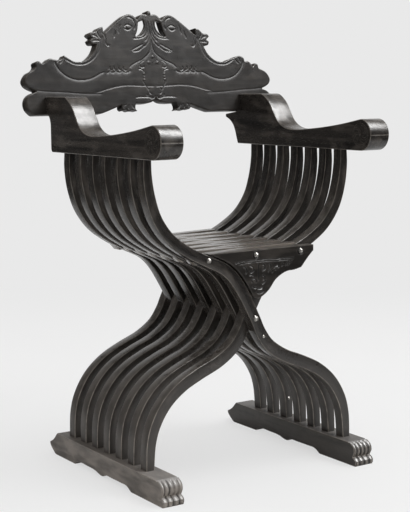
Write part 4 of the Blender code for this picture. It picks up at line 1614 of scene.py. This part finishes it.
@dataclass
class CarvedApron:
    """The front slat, dropped into a carved bracket under the right half of the seat."""

    plan: ChairPlan
    drop: float = 0.098
    thickness: float = 0.023
    lip_gap: float = 0.0004
    overrun: float = 0.010
    tip_share: float = -0.980
    shy: float = 0.0016  # by which its inner end stands off from the front stave
    sat_on: float = 0.0008  # the depth below the seat to which its top edge is rubbed
    bends: Spline = Spline(corner=math.radians(30))
    leaf: Tool = Tool(Cut.VEIN, width=0.0014, depth=0.0015, taper=0.003)
    border: Tool = Tool(Cut.VEIN, width=0.0012, depth=0.0009, taper=0.003)
    swell: Tool = Tool(Cut.RIDGE, width=0.0030, depth=0.0010, taper=0.003)
    # grooves round the pins, darkened as a painted shadow beside them
    pin_shadow_ring: Tool = Tool(Cut.VEIN, width=0.0018, depth=0.0012, taper=0.0005)
    pin_shadow_ring_radius: float = 0.0066
    pin_shadow_ring_points: int = 12

    def spot(self, share: Point) -> Point:
        """A point in shares of the rod's spread and of the drop, as x and z."""
        return (share[0] * self.plan.seat_rod_spread, self.plan.seat_top + share[1] * self.drop)

    def outline(self) -> list[Point]:
        """Draws the apron's edge.

        Returns:
            Its points, in x and z.
        """
        plan = self.plan
        beside = edge_line(plan.centre_line(plan.plan_spans), 1, plan.end_gap + self.shy)
        inner = [p for p in beside if p[1] > plan.pivot_height]
        lower = [self.spot(share) for share in APRON_SHARES]
        tip = plan.seat_top + self.tip_share * self.drop
        points = edge_between(inner, tip, plan.seat_top, 0)
        points.append((lower[0][0], plan.seat_top))
        return self.bends.draw([*points, *lower], closed=True)

    def drawing(self) -> Carving:
        """Draws the double border, the leaf sprays, the shell at the tip, and the rings round the
        pins, whose dark grooves are painted shadow.

        Returns:
            The drawing.
        """
        leaves = (
            ((0.054, -0.273), (0.051, -0.416), (0.057, -0.571), (0.050, -0.642)),
            ((-0.472, -0.241), (-0.433, -0.235), (-0.399, -0.242)),
            ((-0.291, -0.311), (-0.221, -0.361), (-0.204, -0.432), (-0.235, -0.482)),
            ((-0.160, -0.299), (-0.083, -0.342), (-0.044, -0.411), (-0.095, -0.459),
             (-0.156, -0.416)),
            ((-0.172, -0.517), (-0.106, -0.503), (-0.040, -0.542)),
            ((0.127, -0.304), (0.193, -0.339), (0.184, -0.396), (0.122, -0.378)),
            ((0.121, -0.460), (0.170, -0.426), (0.233, -0.409)),
            ((0.271, -0.306), (0.327, -0.361), (0.304, -0.420), (0.255, -0.488)),
            ((0.380, -0.419), (0.430, -0.383), (0.498, -0.354)),
            ((0.412, -0.464), (0.470, -0.420), (0.534, -0.387)),
            ((0.331, -0.485), (0.371, -0.460), (0.353, -0.520)),
            ((0.563, -0.313), (0.597, -0.358), (0.561, -0.402)),
            ((-0.074, -0.678), (-0.100, -0.618), (-0.052, -0.586), (0.005, -0.625),
             (-0.004, -0.690)),
            ((0.125, -0.530), (0.192, -0.562), (0.178, -0.622), (0.116, -0.645)),
            ((0.223, -0.618), (0.183, -0.684), (0.111, -0.722)),
            ((-0.092, -0.738), (-0.022, -0.782), (0.031, -0.755)),
            ((0.005, -0.789), (0.071, -0.807), (0.160, -0.773)),
            ((-0.009, -0.854), (0.062, -0.898), (0.133, -0.886), (0.191, -0.846)),
        )
        borders = (
            ((-0.431, -0.231), (-0.181, -0.210), (0.171, -0.214), (0.417, -0.223), (0.643, -0.231),
             (0.848, -0.235), (0.790, -0.293), (0.688, -0.404)),
            ((-0.399, -0.274), (-0.181, -0.253), (0.171, -0.253), (0.417, -0.260), (0.620, -0.266),
             (0.756, -0.271), (0.699, -0.334), (0.631, -0.402)),
        )
        swells = (
            ((-0.060, -0.330), (-0.105, -0.400)), ((0.155, -0.345), (0.120, -0.420)),
            ((0.430, -0.440), (0.500, -0.385)), ((-0.030, -0.640), (-0.050, -0.700)),
            ((0.150, -0.590), (0.130, -0.680)), ((0.060, -0.845), (0.150, -0.830)),
        )
        strokes = carved_with(self.leaf, leaves, self.spot)
        strokes += carved_with(self.border, borders, self.spot)
        strokes += carved_with(self.swell, swells, self.spot)
        # dark rings round the pins, as painted shadow
        for pin in (self.plan.right_rod, (0.0, self.plan.right_rod[1])):
            ring = circle(self.pin_shadow_ring_radius, self.pin_shadow_ring_points, pin)
            strokes.append(Stroke(self.pin_shadow_ring, (*ring, ring[0])))
        return Carving(strokes)

    def build(self, finishes: Finishes) -> None:
        """Makes the apron and cuts its tip back behind, to clear the front stave.

        Args:
            finishes: The chair's finishes.
        """
        front = self.plan.stack_front - self.plan.apron_proud
        apron = CarvedPlate(
            self.outline(), (), self.thickness, self.drawing(), pitch=0.0012, round_over=0.0018
        )
        bm = apron.build(Matrix.Translation((0, front, 0)))
        rebate = [self.spot(share) for share in REBATE_SHARES]
        start = Vector((0, self.plan.stack_front - self.lip_gap, 0))
        cutter = plate([rebate], front_point, start, Vector((0, self.thickness + self.overrun, 0)))
        bm = trimmed(bm, cutter, "DIFFERENCE")
        wear_and_highlight_mark = bm.verts.layers.float[WEAR_AND_HIGHLIGHT]
        for vert in bm.verts:
            if vert.co.z > self.plan.seat_top - self.sat_on:
                vert[wear_and_highlight_mark] = 1.0
        lay_grain(bm, Run.SIDEWAYS, 0.0)
        piece = Piece("apron_carved", "right_seat", "carved_walnut", ("seat_apron",))
        piece.finish(bm, finishes.carved_wood)


@dataclass
class CrestBoard:
    """The pierced crest board: two dolphins nose to a palmette, over a raised lower band."""

    plan: ChairPlan
    width: float = 0.625
    rise: float = 0.221
    thickness: float = 0.022
    middle_share: float = 0.140
    bends: Spline = Spline(corner=math.radians(60))
    slit_bends: Spline = Spline(per_span=2, corner=math.radians(60))
    ledge: Tool = Tool(Cut.LEDGE, width=0.0026, depth=0.0010, taper=0.006)
    band: Tool = Tool(Cut.LEDGE, width=0.0030, depth=0.0006, taper=0.006)
    vein: Tool = Tool(Cut.VEIN, width=0.0011, depth=0.0009, taper=0.004)
    bead_height: float = 0.0006

    def spot(self, share: Point) -> Point:
        """A point in shares of the half width and of the height, as x and z."""
        x, z = share
        return (x * self.width / 2, z * self.rise / math.cos(self.plan.crest_rake))

    def outline(self) -> list[Point]:
        """Draws the board's edge.

        Returns:
            Its points, in x and z from the middle of its lower edge.
        """
        right = CREST_TOP_SHARES + RIGHT_TAIL_SHARES + CREST_SIDE_SHARES
        left = CREST_TOP_SHARES[1:] + LEFT_TAIL_SHARES + CREST_SIDE_SHARES
        shares = [*right, (0, self.middle_share), *((-x, z) for x, z in reversed(left))]
        return self.bends.draw([self.spot(s) for s in shares], closed=True)

    def slits(self) -> list[list[Point]]:
        """The two openings beside the palmette's stem."""
        slit = self.slit_bends.draw([self.spot(s) for s in SLIT_SHARES], closed=True)
        return [slit, [(-x, z) for x, z in slit]]

    def drawing(self) -> Carving:
        """Draws the right half of the carving.

        Returns:
            The drawing.
        """
        ledges = (
            # the concave shoulder's rim
            ((0.378, 0.745), (0.401, 0.690), (0.413, 0.641), (0.431, 0.583), (0.461, 0.534),
             (0.500, 0.496), (0.540, 0.474), (0.580, 0.468), (0.620, 0.474), (0.655, 0.494),
             (0.690, 0.522)),
            # the dolphin's back and belly, from its tail to the frill
            ((0.768, 0.512), (0.756, 0.462), (0.728, 0.408), (0.690, 0.366), (0.642, 0.336),
             (0.578, 0.323), (0.518, 0.332), (0.464, 0.359), (0.414, 0.392), (0.385, 0.401)),
            # the frill under the body
            ((0.385, 0.401), (0.368, 0.392), (0.350, 0.412), (0.336, 0.394), (0.318, 0.396),
             (0.304, 0.414), (0.288, 0.396), (0.268, 0.396), (0.254, 0.414), (0.240, 0.397),
             (0.215, 0.394), (0.190, 0.408), (0.196, 0.432)),
            # the ogive under the two heads
            ((0.198, 0.434), (0.171, 0.468), (0.129, 0.495), (0.079, 0.526), (0.044, 0.562),
             (0.018, 0.600), (0.006, 0.650), (0.002, 0.720)),
        )
        # the raised lower band
        bands = (
            ((0.000, 0.252), (0.063, 0.255), (0.150, 0.262), (0.230, 0.264), (0.295, 0.256),
             (0.356, 0.240), (0.430, 0.212), (0.485, 0.196)),
            ((0.930, 0.232), (0.838, 0.219), (0.743, 0.213), (0.648, 0.203), (0.519, 0.192),
             (0.420, 0.190)),
        )
        veins = (
            ((0.150, 0.724), (0.091, 0.727), (0.055, 0.744), (0.026, 0.787), (0.014, 0.835),
             (0.012, 0.900)),
            ((0.098, 0.742), (0.062, 0.766), (0.040, 0.806), (0.031, 0.850), (0.029, 0.905)),
            ((0.052, 0.694), (0.026, 0.736), (0.010, 0.787), (0.004, 0.850)),
            ((0.060, 0.638), (0.024, 0.695), (0.008, 0.745), (0.002, 0.800)),
            ((0.168, 0.606), (0.125, 0.634), (0.096, 0.653), (0.066, 0.674)),
            ((0.162, 0.600), (0.121, 0.600), (0.084, 0.625), (0.054, 0.660)),
            ((0.296, 0.725), (0.283, 0.774), (0.284, 0.812)),
            ((0.258, 0.768), (0.248, 0.816), (0.238, 0.868)),
            ((0.130, 0.806), (0.118, 0.850), (0.126, 0.893), (0.146, 0.921), (0.180, 0.935)),
            ((0.211, 0.832), (0.196, 0.851), (0.172, 0.858), (0.147, 0.839), (0.160, 0.817),
             (0.182, 0.807), (0.204, 0.819), (0.211, 0.832)),
            ((0.430, 0.795), (0.414, 0.745), (0.392, 0.712)),
            ((0.380, 0.785), (0.362, 0.723), (0.361, 0.666), (0.345, 0.650), (0.330, 0.664)),
            ((0.470, 0.694), (0.432, 0.700), (0.403, 0.698)),
            ((0.470, 0.752), (0.440, 0.745), (0.418, 0.722)),
            ((0.065, 0.516), (0.094, 0.493), (0.110, 0.462), (0.099, 0.440), (0.076, 0.446),
             (0.082, 0.464)),
            ((0.083, 0.401), (0.094, 0.420), (0.127, 0.427)),
            ((0.168, 0.148), (0.110, 0.152), (0.071, 0.151), (0.025, 0.150)),
            ((0.004, 0.168), (0.021, 0.140), (0.057, 0.150), (0.073, 0.175), (0.052, 0.170)),
            ((0.030, 0.178), (0.045, 0.190), (0.050, 0.222), (0.040, 0.243)),
            ((0.047, 0.205), (0.080, 0.274), (0.097, 0.318)),
            ((0.690, 0.545), (0.704, 0.510), (0.732, 0.476)),
            ((0.720, 0.552), (0.736, 0.516), (0.748, 0.486)),
            ((0.268, 0.034), (0.262, 0.066), (0.243, 0.088)),
            ((0.225, 0.028), (0.228, 0.058), (0.220, 0.086)),
            ((0.174, 0.030), (0.191, 0.056), (0.200, 0.086)),
            ((0.346, 0.458), (0.352, 0.430), (0.340, 0.412), (0.328, 0.428)),
            ((0.312, 0.462), (0.316, 0.430), (0.302, 0.412), (0.290, 0.430)),
            ((0.274, 0.460), (0.280, 0.430), (0.266, 0.412), (0.253, 0.430)),
            ((0.238, 0.458), (0.244, 0.428), (0.228, 0.410), (0.214, 0.428)),
        )
        # shares of the half width and of the height, and the radius
        beads = (
            (0.179, 0.833, 0.0040), (0.084, 0.378, 0.0026), (0.084, 0.350, 0.0024),
            (0.084, 0.322, 0.0022), (0.036, 0.489, 0.0034), (0.000, 0.975, 0.0040),
            (0.000, 0.545, 0.0028),
        )
        strokes = carved_with(self.ledge, ledges, self.spot)
        strokes += carved_with(self.band, bands, self.spot)
        strokes += carved_with(self.vein, veins, self.spot)
        for x, z, radius in beads:
            tool = Tool(Cut.BEAD, width=radius, depth=self.bead_height)
            strokes.append(Stroke(tool, (self.spot((x, z)),)))
        return Carving(strokes)

    def build(self, finishes: Finishes) -> None:
        """Makes the board and leans it back on the arms.

        Args:
            finishes: The chair's finishes.
        """
        board = CarvedPlate(
            self.outline(), self.slits(), self.thickness, self.drawing(), fold=True
        )
        lean = Matrix.Rotation(-self.plan.crest_rake, 4, "X")
        bm = board.build(Matrix.Translation(self.plan.crest_foot) @ lean)
        lay_grain(bm, Run.SIDEWAYS, 0.0)
        piece = Piece("crest_carved", "crest", "carved_walnut", ("crest_board",))
        piece.finish(bm, finishes.carved_wood)


@dataclass
class Ironwork:
    """The pivot rod, the seat rods, the front centre pin and the nails."""

    plan: ChairPlan
    pivot_radius: float = 0.0035
    seat_radius: float = 0.0030
    washer_width: float = 0.0022
    washer_thickness: float = 0.0012
    head_height: float = 0.0036
    nail_radius: float = 0.0012
    nail_length: float = 0.012
    nail_head_radius: float = 0.0032
    nail_head_height: float = 0.0015
    apron_thickness: float = 0.023
    sides: int = 40
    crown_turns: tuple[int, ...] = (0, 15, 30, 45, 60, 75, 90)  # degrees from crown to rim

    def dome(self, radius: float, height: float, base: float, outward: int) -> list[Point]:
        """A hammered head from its crown to its rim, as (radius, along) pairs."""
        turns = [math.radians(degrees) for degrees in self.crown_turns]
        return [(radius * math.sin(t), base + outward * height * math.cos(t)) for t in turns]

    def rod_profile(self, radius: float, front: float, back: float, back_head: bool) -> list[Point]:
        """Draws half a rod's section.

        Args:
            radius: The rod's radius.
            front: Where the front washer's seat lies.
            back: Where the rear washer's seat or the rod's end lies.
            back_head: Whether it has a rear washer and head.

        Returns:
            (radius, along) pairs from the front crown to the back.
        """
        gap = self.plan.gap
        face = front - gap
        crown = face - self.washer_thickness
        wide = radius + self.washer_width
        head = radius + self.washer_width / 2
        profile = self.dome(head, self.head_height, crown, -1)
        profile += [(wide - gap, crown), (wide, crown + gap), (wide, face), (radius, face)]
        if back_head:
            face = back + gap
            crown = face + self.washer_thickness
            profile += [(radius, face), (wide, face), (wide, crown - gap), (wide - gap, crown)]
            profile += reversed(self.dome(head, self.head_height, crown, 1))
        else:
            profile += [(radius, back), (0, back)]
        return profile

    def turn(self, profile: Sequence[Point], place: Vector) -> BMesh:
        """Turns a half section about its own Y axis.

        Args:
            profile: The section, as (radius, along) pairs.
            place: Where it goes.

        Returns:
            The closed solid in its place.
        """
        bm = bmesh.new()
        verts = [bm.verts.new((radius, along, 0)) for radius, along in profile]
        for a, b in zip(verts, verts[1:]):
            bm.edges.new((a, b))
        bmesh.ops.spin(
            bm, geom=bm.verts[:] + bm.edges[:], axis=(0, 1, 0), cent=(0, 0, 0),
            angle=2 * math.pi, steps=self.sides, use_merge=True,
        )
        bmesh.ops.remove_doubles(bm, verts=bm.verts, dist=self.plan.gap / 30)
        bmesh.ops.translate(bm, verts=bm.verts, vec=place)
        return bm

    def fit(self, bm: BMesh, node: str, body: str, finishes: Finishes) -> None:
        """Finishes an iron piece in place of its node."""
        Piece(f"iron_{node}", body, "rod_iron", (node,)).finish(bm, finishes.iron)

    def build(self, finishes: Finishes) -> None:
        """Makes the iron pieces that show.

        Args:
            finishes: The chair's finishes.
        """
        plan = self.plan
        thick, thin = self.pivot_radius, self.seat_radius
        proud, depth = -plan.apron_proud, plan.stack_depth
        pin_end = self.apron_thickness + proud
        pivot, left, right = (0.0, plan.pivot_height), plan.left_rod, plan.right_rod
        pin = (0.0, right[1])
        rods = (
            ("pivot_rod", "right_frame", pivot, thick, 0.0, depth, True),
            ("left_seat_rod", "left_frame", left, thin, 0.0, depth, True),
            ("right_seat_rod", "right_frame", right, thin, proud, depth, True),
            ("seat_centre_pin_1", "right_seat", pin, thin, proud, pin_end, False),
        )
        for node, body, (x, z), radius, start, end, back_head in rods:
            profile = self.rod_profile(radius, start, end, back_head)
            self.fit(self.turn(profile, Vector((x, plan.stack_front, z))), node, body, finishes)
        shank = ((self.nail_radius, -plan.gap), (self.nail_radius, self.nail_length))
        head = self.dome(self.nail_head_radius, self.nail_head_height, -plan.gap, -1)
        for node in ("stave_nail_1", "stave_nail_2"):
            low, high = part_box(node)
            middle = (low + high) / 2
            place = Vector((middle.x, high.y - self.nail_length, middle.z))
            nail = self.turn([*head, *shank, (0, self.nail_length)], place)
            self.fit(nail, node, "left_frame", finishes)

    def dress_hidden(self, finishes: Finishes) -> None:
        """Gives the hidden pins and dowels their finishes.

        Args:
            finishes: The chair's finishes.
        """
        pins = range(2, self.plan.staves_per_set + 1)
        hidden = {f"seat_centre_pin_{n}": finishes.iron for n in pins}
        hidden |= {f"crest_dowel_{n}": finishes.inner_wood for n in (1, 2)}
        for node, material in hidden.items():
            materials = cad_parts[node].data.materials
            materials.clear()
            materials.append(material)
            LOG.info("%s: kept, dressed in %s", node, material.name)


# Studio


@dataclass
class Studio:
    """A white paper sweep, a large soft box over the camera's right shoulder, and the camera."""

    floor_radius: float = 30.0
    floor_colour: Colour = (0.845, 0.845, 0.840)
    room_colour: Colour = (0.055, 0.055, 0.055)
    glow: float = 0.92  # the lit paper as the camera sees it, under the chair's soft shadow
    glow_near: float = 0.64
    sweep_from: float = 0.6  # where the paper starts to rise into the backdrop
    sweep_to: float = 2.4
    backdrop: float = 0.815
    room: float = 0.07
    fill: float = 0.72
    paper_half: float = 1.35  # half of the paper's width, about the camera's line of sight
    paper_front: float = 2.1
    paper_fade: float = 0.30
    box_place: Triple = (1.30, -1.21, 3.00)
    box_aim: Triple = (0.0, 0.0, 0.50)
    box_size: Point = (2.2, 1.6)
    box_power: float = 40.0
    sheen_power: float = 620.0  # the same box again, as polish mirrors it
    eye: Triple = (-1.4887, -2.2706, 0.7968)
    azimuth: float = math.radians(33.092)
    pitch: float = math.radians(7.558)
    roll: float = math.radians(-0.5895)
    focal_pixels: float = 1306.54
    image_height: float = 512.0
    sensor_height: float = 24.0
    paper_tone: Noise = Noise((1.3, 1.3, 1.3), 3)
    paper_tone_over: Point = (0.3, 0.7)
    paper_shade: float = 0.985
    paper_roughness: float = 0.9
    paper_specular: float = 0.1
    room_over: Point = (0.66, 0.84)  # how far ahead polish looks where the dark room gives way

    @property
    def level(self) -> Vector:
        """The level way to the camera's right."""
        return Vector((math.cos(self.azimuth), -math.sin(self.azimuth), 0))

    def facing(self, bench: Bench, place: Socket) -> tuple[Socket, Socket]:
        """Turns a place or direction to the camera's heading.

        Args:
            bench: The node tree that the nodes go to.
            place: The place or direction.

        Returns:
            How far it lies to the camera's right, and how far ahead of the chair.
        """
        turned = bench.add("Mapping")
        bench.feed(turned.inputs["Vector"], place)
        turned.inputs["Rotation"].default_value = (0, 0, self.azimuth)
        parts = bench.add("SeparateXYZ")
        bench.feed(parts.inputs[0], turned.outputs[0])
        return parts.outputs[0], parts.outputs[1]

    def lay_floor(self) -> None:
        """Lays the pale floor, which polish mirrors only as far as the paper goes."""
        bm = bmesh.new()
        bmesh.ops.create_circle(bm, cap_ends=True, segments=96, radius=self.floor_radius)
        floor = stood("floor", as_mesh(bm, "floor"))
        material, bench, shader = new_material("floor_paper")
        place = bench.add("TexCoord").outputs["Object"]
        tone = bench.span(bench.noise(place, self.paper_tone), self.paper_tone_over, 0, 1)
        darker = tuple(self.paper_shade * c for c in self.floor_colour)
        paper = bench.blend(tone, darker, self.floor_colour)
        aside, ahead = self.facing(bench, place)
        sides = (self.paper_half, self.paper_half + self.paper_fade)
        off_side = bench.span(bench.reckon("ABSOLUTE", aside, 0), sides, 0, 1)
        fronts = (-self.paper_front - self.paper_fade, -self.paper_front)
        beyond = bench.reckon("MAXIMUM", off_side, bench.span(ahead, fronts, 1, 0))
        share = bench.times(beyond, bench.add("LightPath").outputs["Is Glossy Ray"])
        bench.feed(shader.inputs["Base Color"], bench.blend(share, paper, self.room_colour))
        shader.inputs["Roughness"].default_value = self.paper_roughness
        shader.inputs["Specular IOR Level"].default_value = self.paper_specular
        self.sweep(bench, shader, ahead)
        floor.data.materials.append(material)

    def sweep(self, bench: Bench, shader: bpy.types.Node, ahead: Socket) -> None:
        """Lets the paper rise into the backdrop without a line between them.

        Args:
            bench: The paper's node tree.
            shader: The paper near the chair, which takes its shadow.
            ahead: How far a spot lies behind the chair, as the camera looks.
        """
        rise = (self.sweep_from, self.sweep_to)
        glow = bench.add("Emission")
        strength = bench.span(ahead, rise, self.glow, self.backdrop)
        bench.feed(glow.inputs["Strength"], strength)
        seen = bench.add("LightPath").outputs["Is Camera Ray"]
        share = bench.times(bench.span(ahead, rise, self.glow_near, 1), seen)
        risen = bench.either(share, shader.outputs[0], glow.outputs[0])
        output = next(node for node in bench.tree.nodes if node.type == "OUTPUT_MATERIAL")
        bench.feed(output.inputs["Surface"], risen)

    def hang_box(self, name: str, power: float, mirrored_only: bool) -> None:
        """Hangs the soft box, or the part of it that only polish shows.

        Args:
            name: The lamp's name.
            power: Its power in watts.
            mirrored_only: Whether it is left out of the diffuse light.
        """
        lamp = bpy.data.lights.new(name, "AREA")
        lamp.shape = "RECTANGLE"
        lamp.size, lamp.size_y = self.box_size
        lamp.energy = power
        hung = stood(name, lamp)
        hung.visible_diffuse = not mirrored_only
        hung.visible_camera = False
        back = (Vector(self.box_place) - Vector(self.box_aim)).normalized()
        side = (self.level - back * self.level.dot(back)).normalized()
        turn = Matrix((side, back.cross(side), back)).transposed()
        hung.matrix_world = Matrix.Translation(self.box_place) @ turn.to_4x4()

    def light_world(self) -> None:
        """Sets the even fill, and the backdrop that the camera and polish see."""
        world = bpy.data.worlds.new("studio")
        world.use_nodes = True
        bpy.context.scene.world = world
        bench = Bench(world.node_tree)
        world.node_tree.nodes.clear()
        path = bench.add("LightPath").outputs
        seen = bench.reckon("MAXIMUM", path["Is Camera Ray"], path["Is Glossy Ray"])
        seen = bench.reckon("MAXIMUM", seen, path["Is Transmission Ray"])
        _, ahead = self.facing(bench, bench.add("TexCoord").outputs["Generated"])
        away = bench.times(bench.span(ahead, self.room_over, 1, 0), path["Is Glossy Ray"])
        lit, shown = bench.add("Background"), bench.add("Background")
        bench.feed(lit.inputs["Strength"], self.fill)
        strength = bench.span(away, (0, 1), self.backdrop, self.room)
        bench.feed(shown.inputs["Strength"], strength)
        for background in (lit, shown):
            background.inputs["Color"].default_value = (1, 1, 1, 1)
        mixed = bench.either(seen, lit.outputs[0], shown.outputs[0])
        bench.feed(bench.add("OutputWorld").inputs["Surface"], mixed)

    def aim_camera(self) -> None:
        """Stands the camera where the photograph was taken from."""
        level, ahead = self.level, Vector((math.sin(self.azimuth), math.cos(self.azimuth), 0))
        forward = ahead * math.cos(self.pitch) - Vector((0, 0, math.sin(self.pitch)))
        upright = level.cross(forward)
        right = level * math.cos(self.roll) + upright * math.sin(self.roll)
        up = upright * math.cos(self.roll) - level * math.sin(self.roll)
        camera = bpy.data.cameras.new("camera")
        camera.sensor_fit = "VERTICAL"
        camera.sensor_height = self.sensor_height
        camera.lens = self.sensor_height * self.focal_pixels / self.image_height
        camera.clip_end = 2 * self.floor_radius
        stand = stood("camera", camera)
        turn = Matrix((right, up, -forward)).transposed()
        stand.matrix_world = Matrix.Translation(self.eye) @ turn.to_4x4()
        bpy.context.scene.camera = stand

    def build(self) -> None:
        """Sets up the whole studio."""
        bpy.context.scene.view_settings.view_transform = "Standard"
        self.lay_floor()
        self.light_world()
        self.hang_box("soft_box", self.box_power, mirrored_only=False)
        self.hang_box("soft_box_sheen", self.sheen_power, mirrored_only=True)
        self.aim_camera()
        LOG.info("studio: paper floor, backdrop, soft box and camera")


def main() -> None:
    """Builds the studio, the finishes and each sub-assembly."""
    logging.basicConfig(level=logging.INFO, format="%(name)s: %(message)s")
    plan = ChairPlan()
    Studio().build()
    finishes = Finishes.mix()
    for side in Side:
        StaveSet(plan, side).build(finishes)
        ScrollArm(plan, side).build(finishes)
        RunnerFoot(plan, side).build(finishes)
    SlattedSeat(plan).build(finishes)
    CarvedApron(plan).build(finishes)
    CrestBoard(plan).build(finishes)
    ironwork = Ironwork(plan)
    ironwork.build(finishes)
    ironwork.dress_hidden(finishes)


if __name__ == "__main__":
    main()
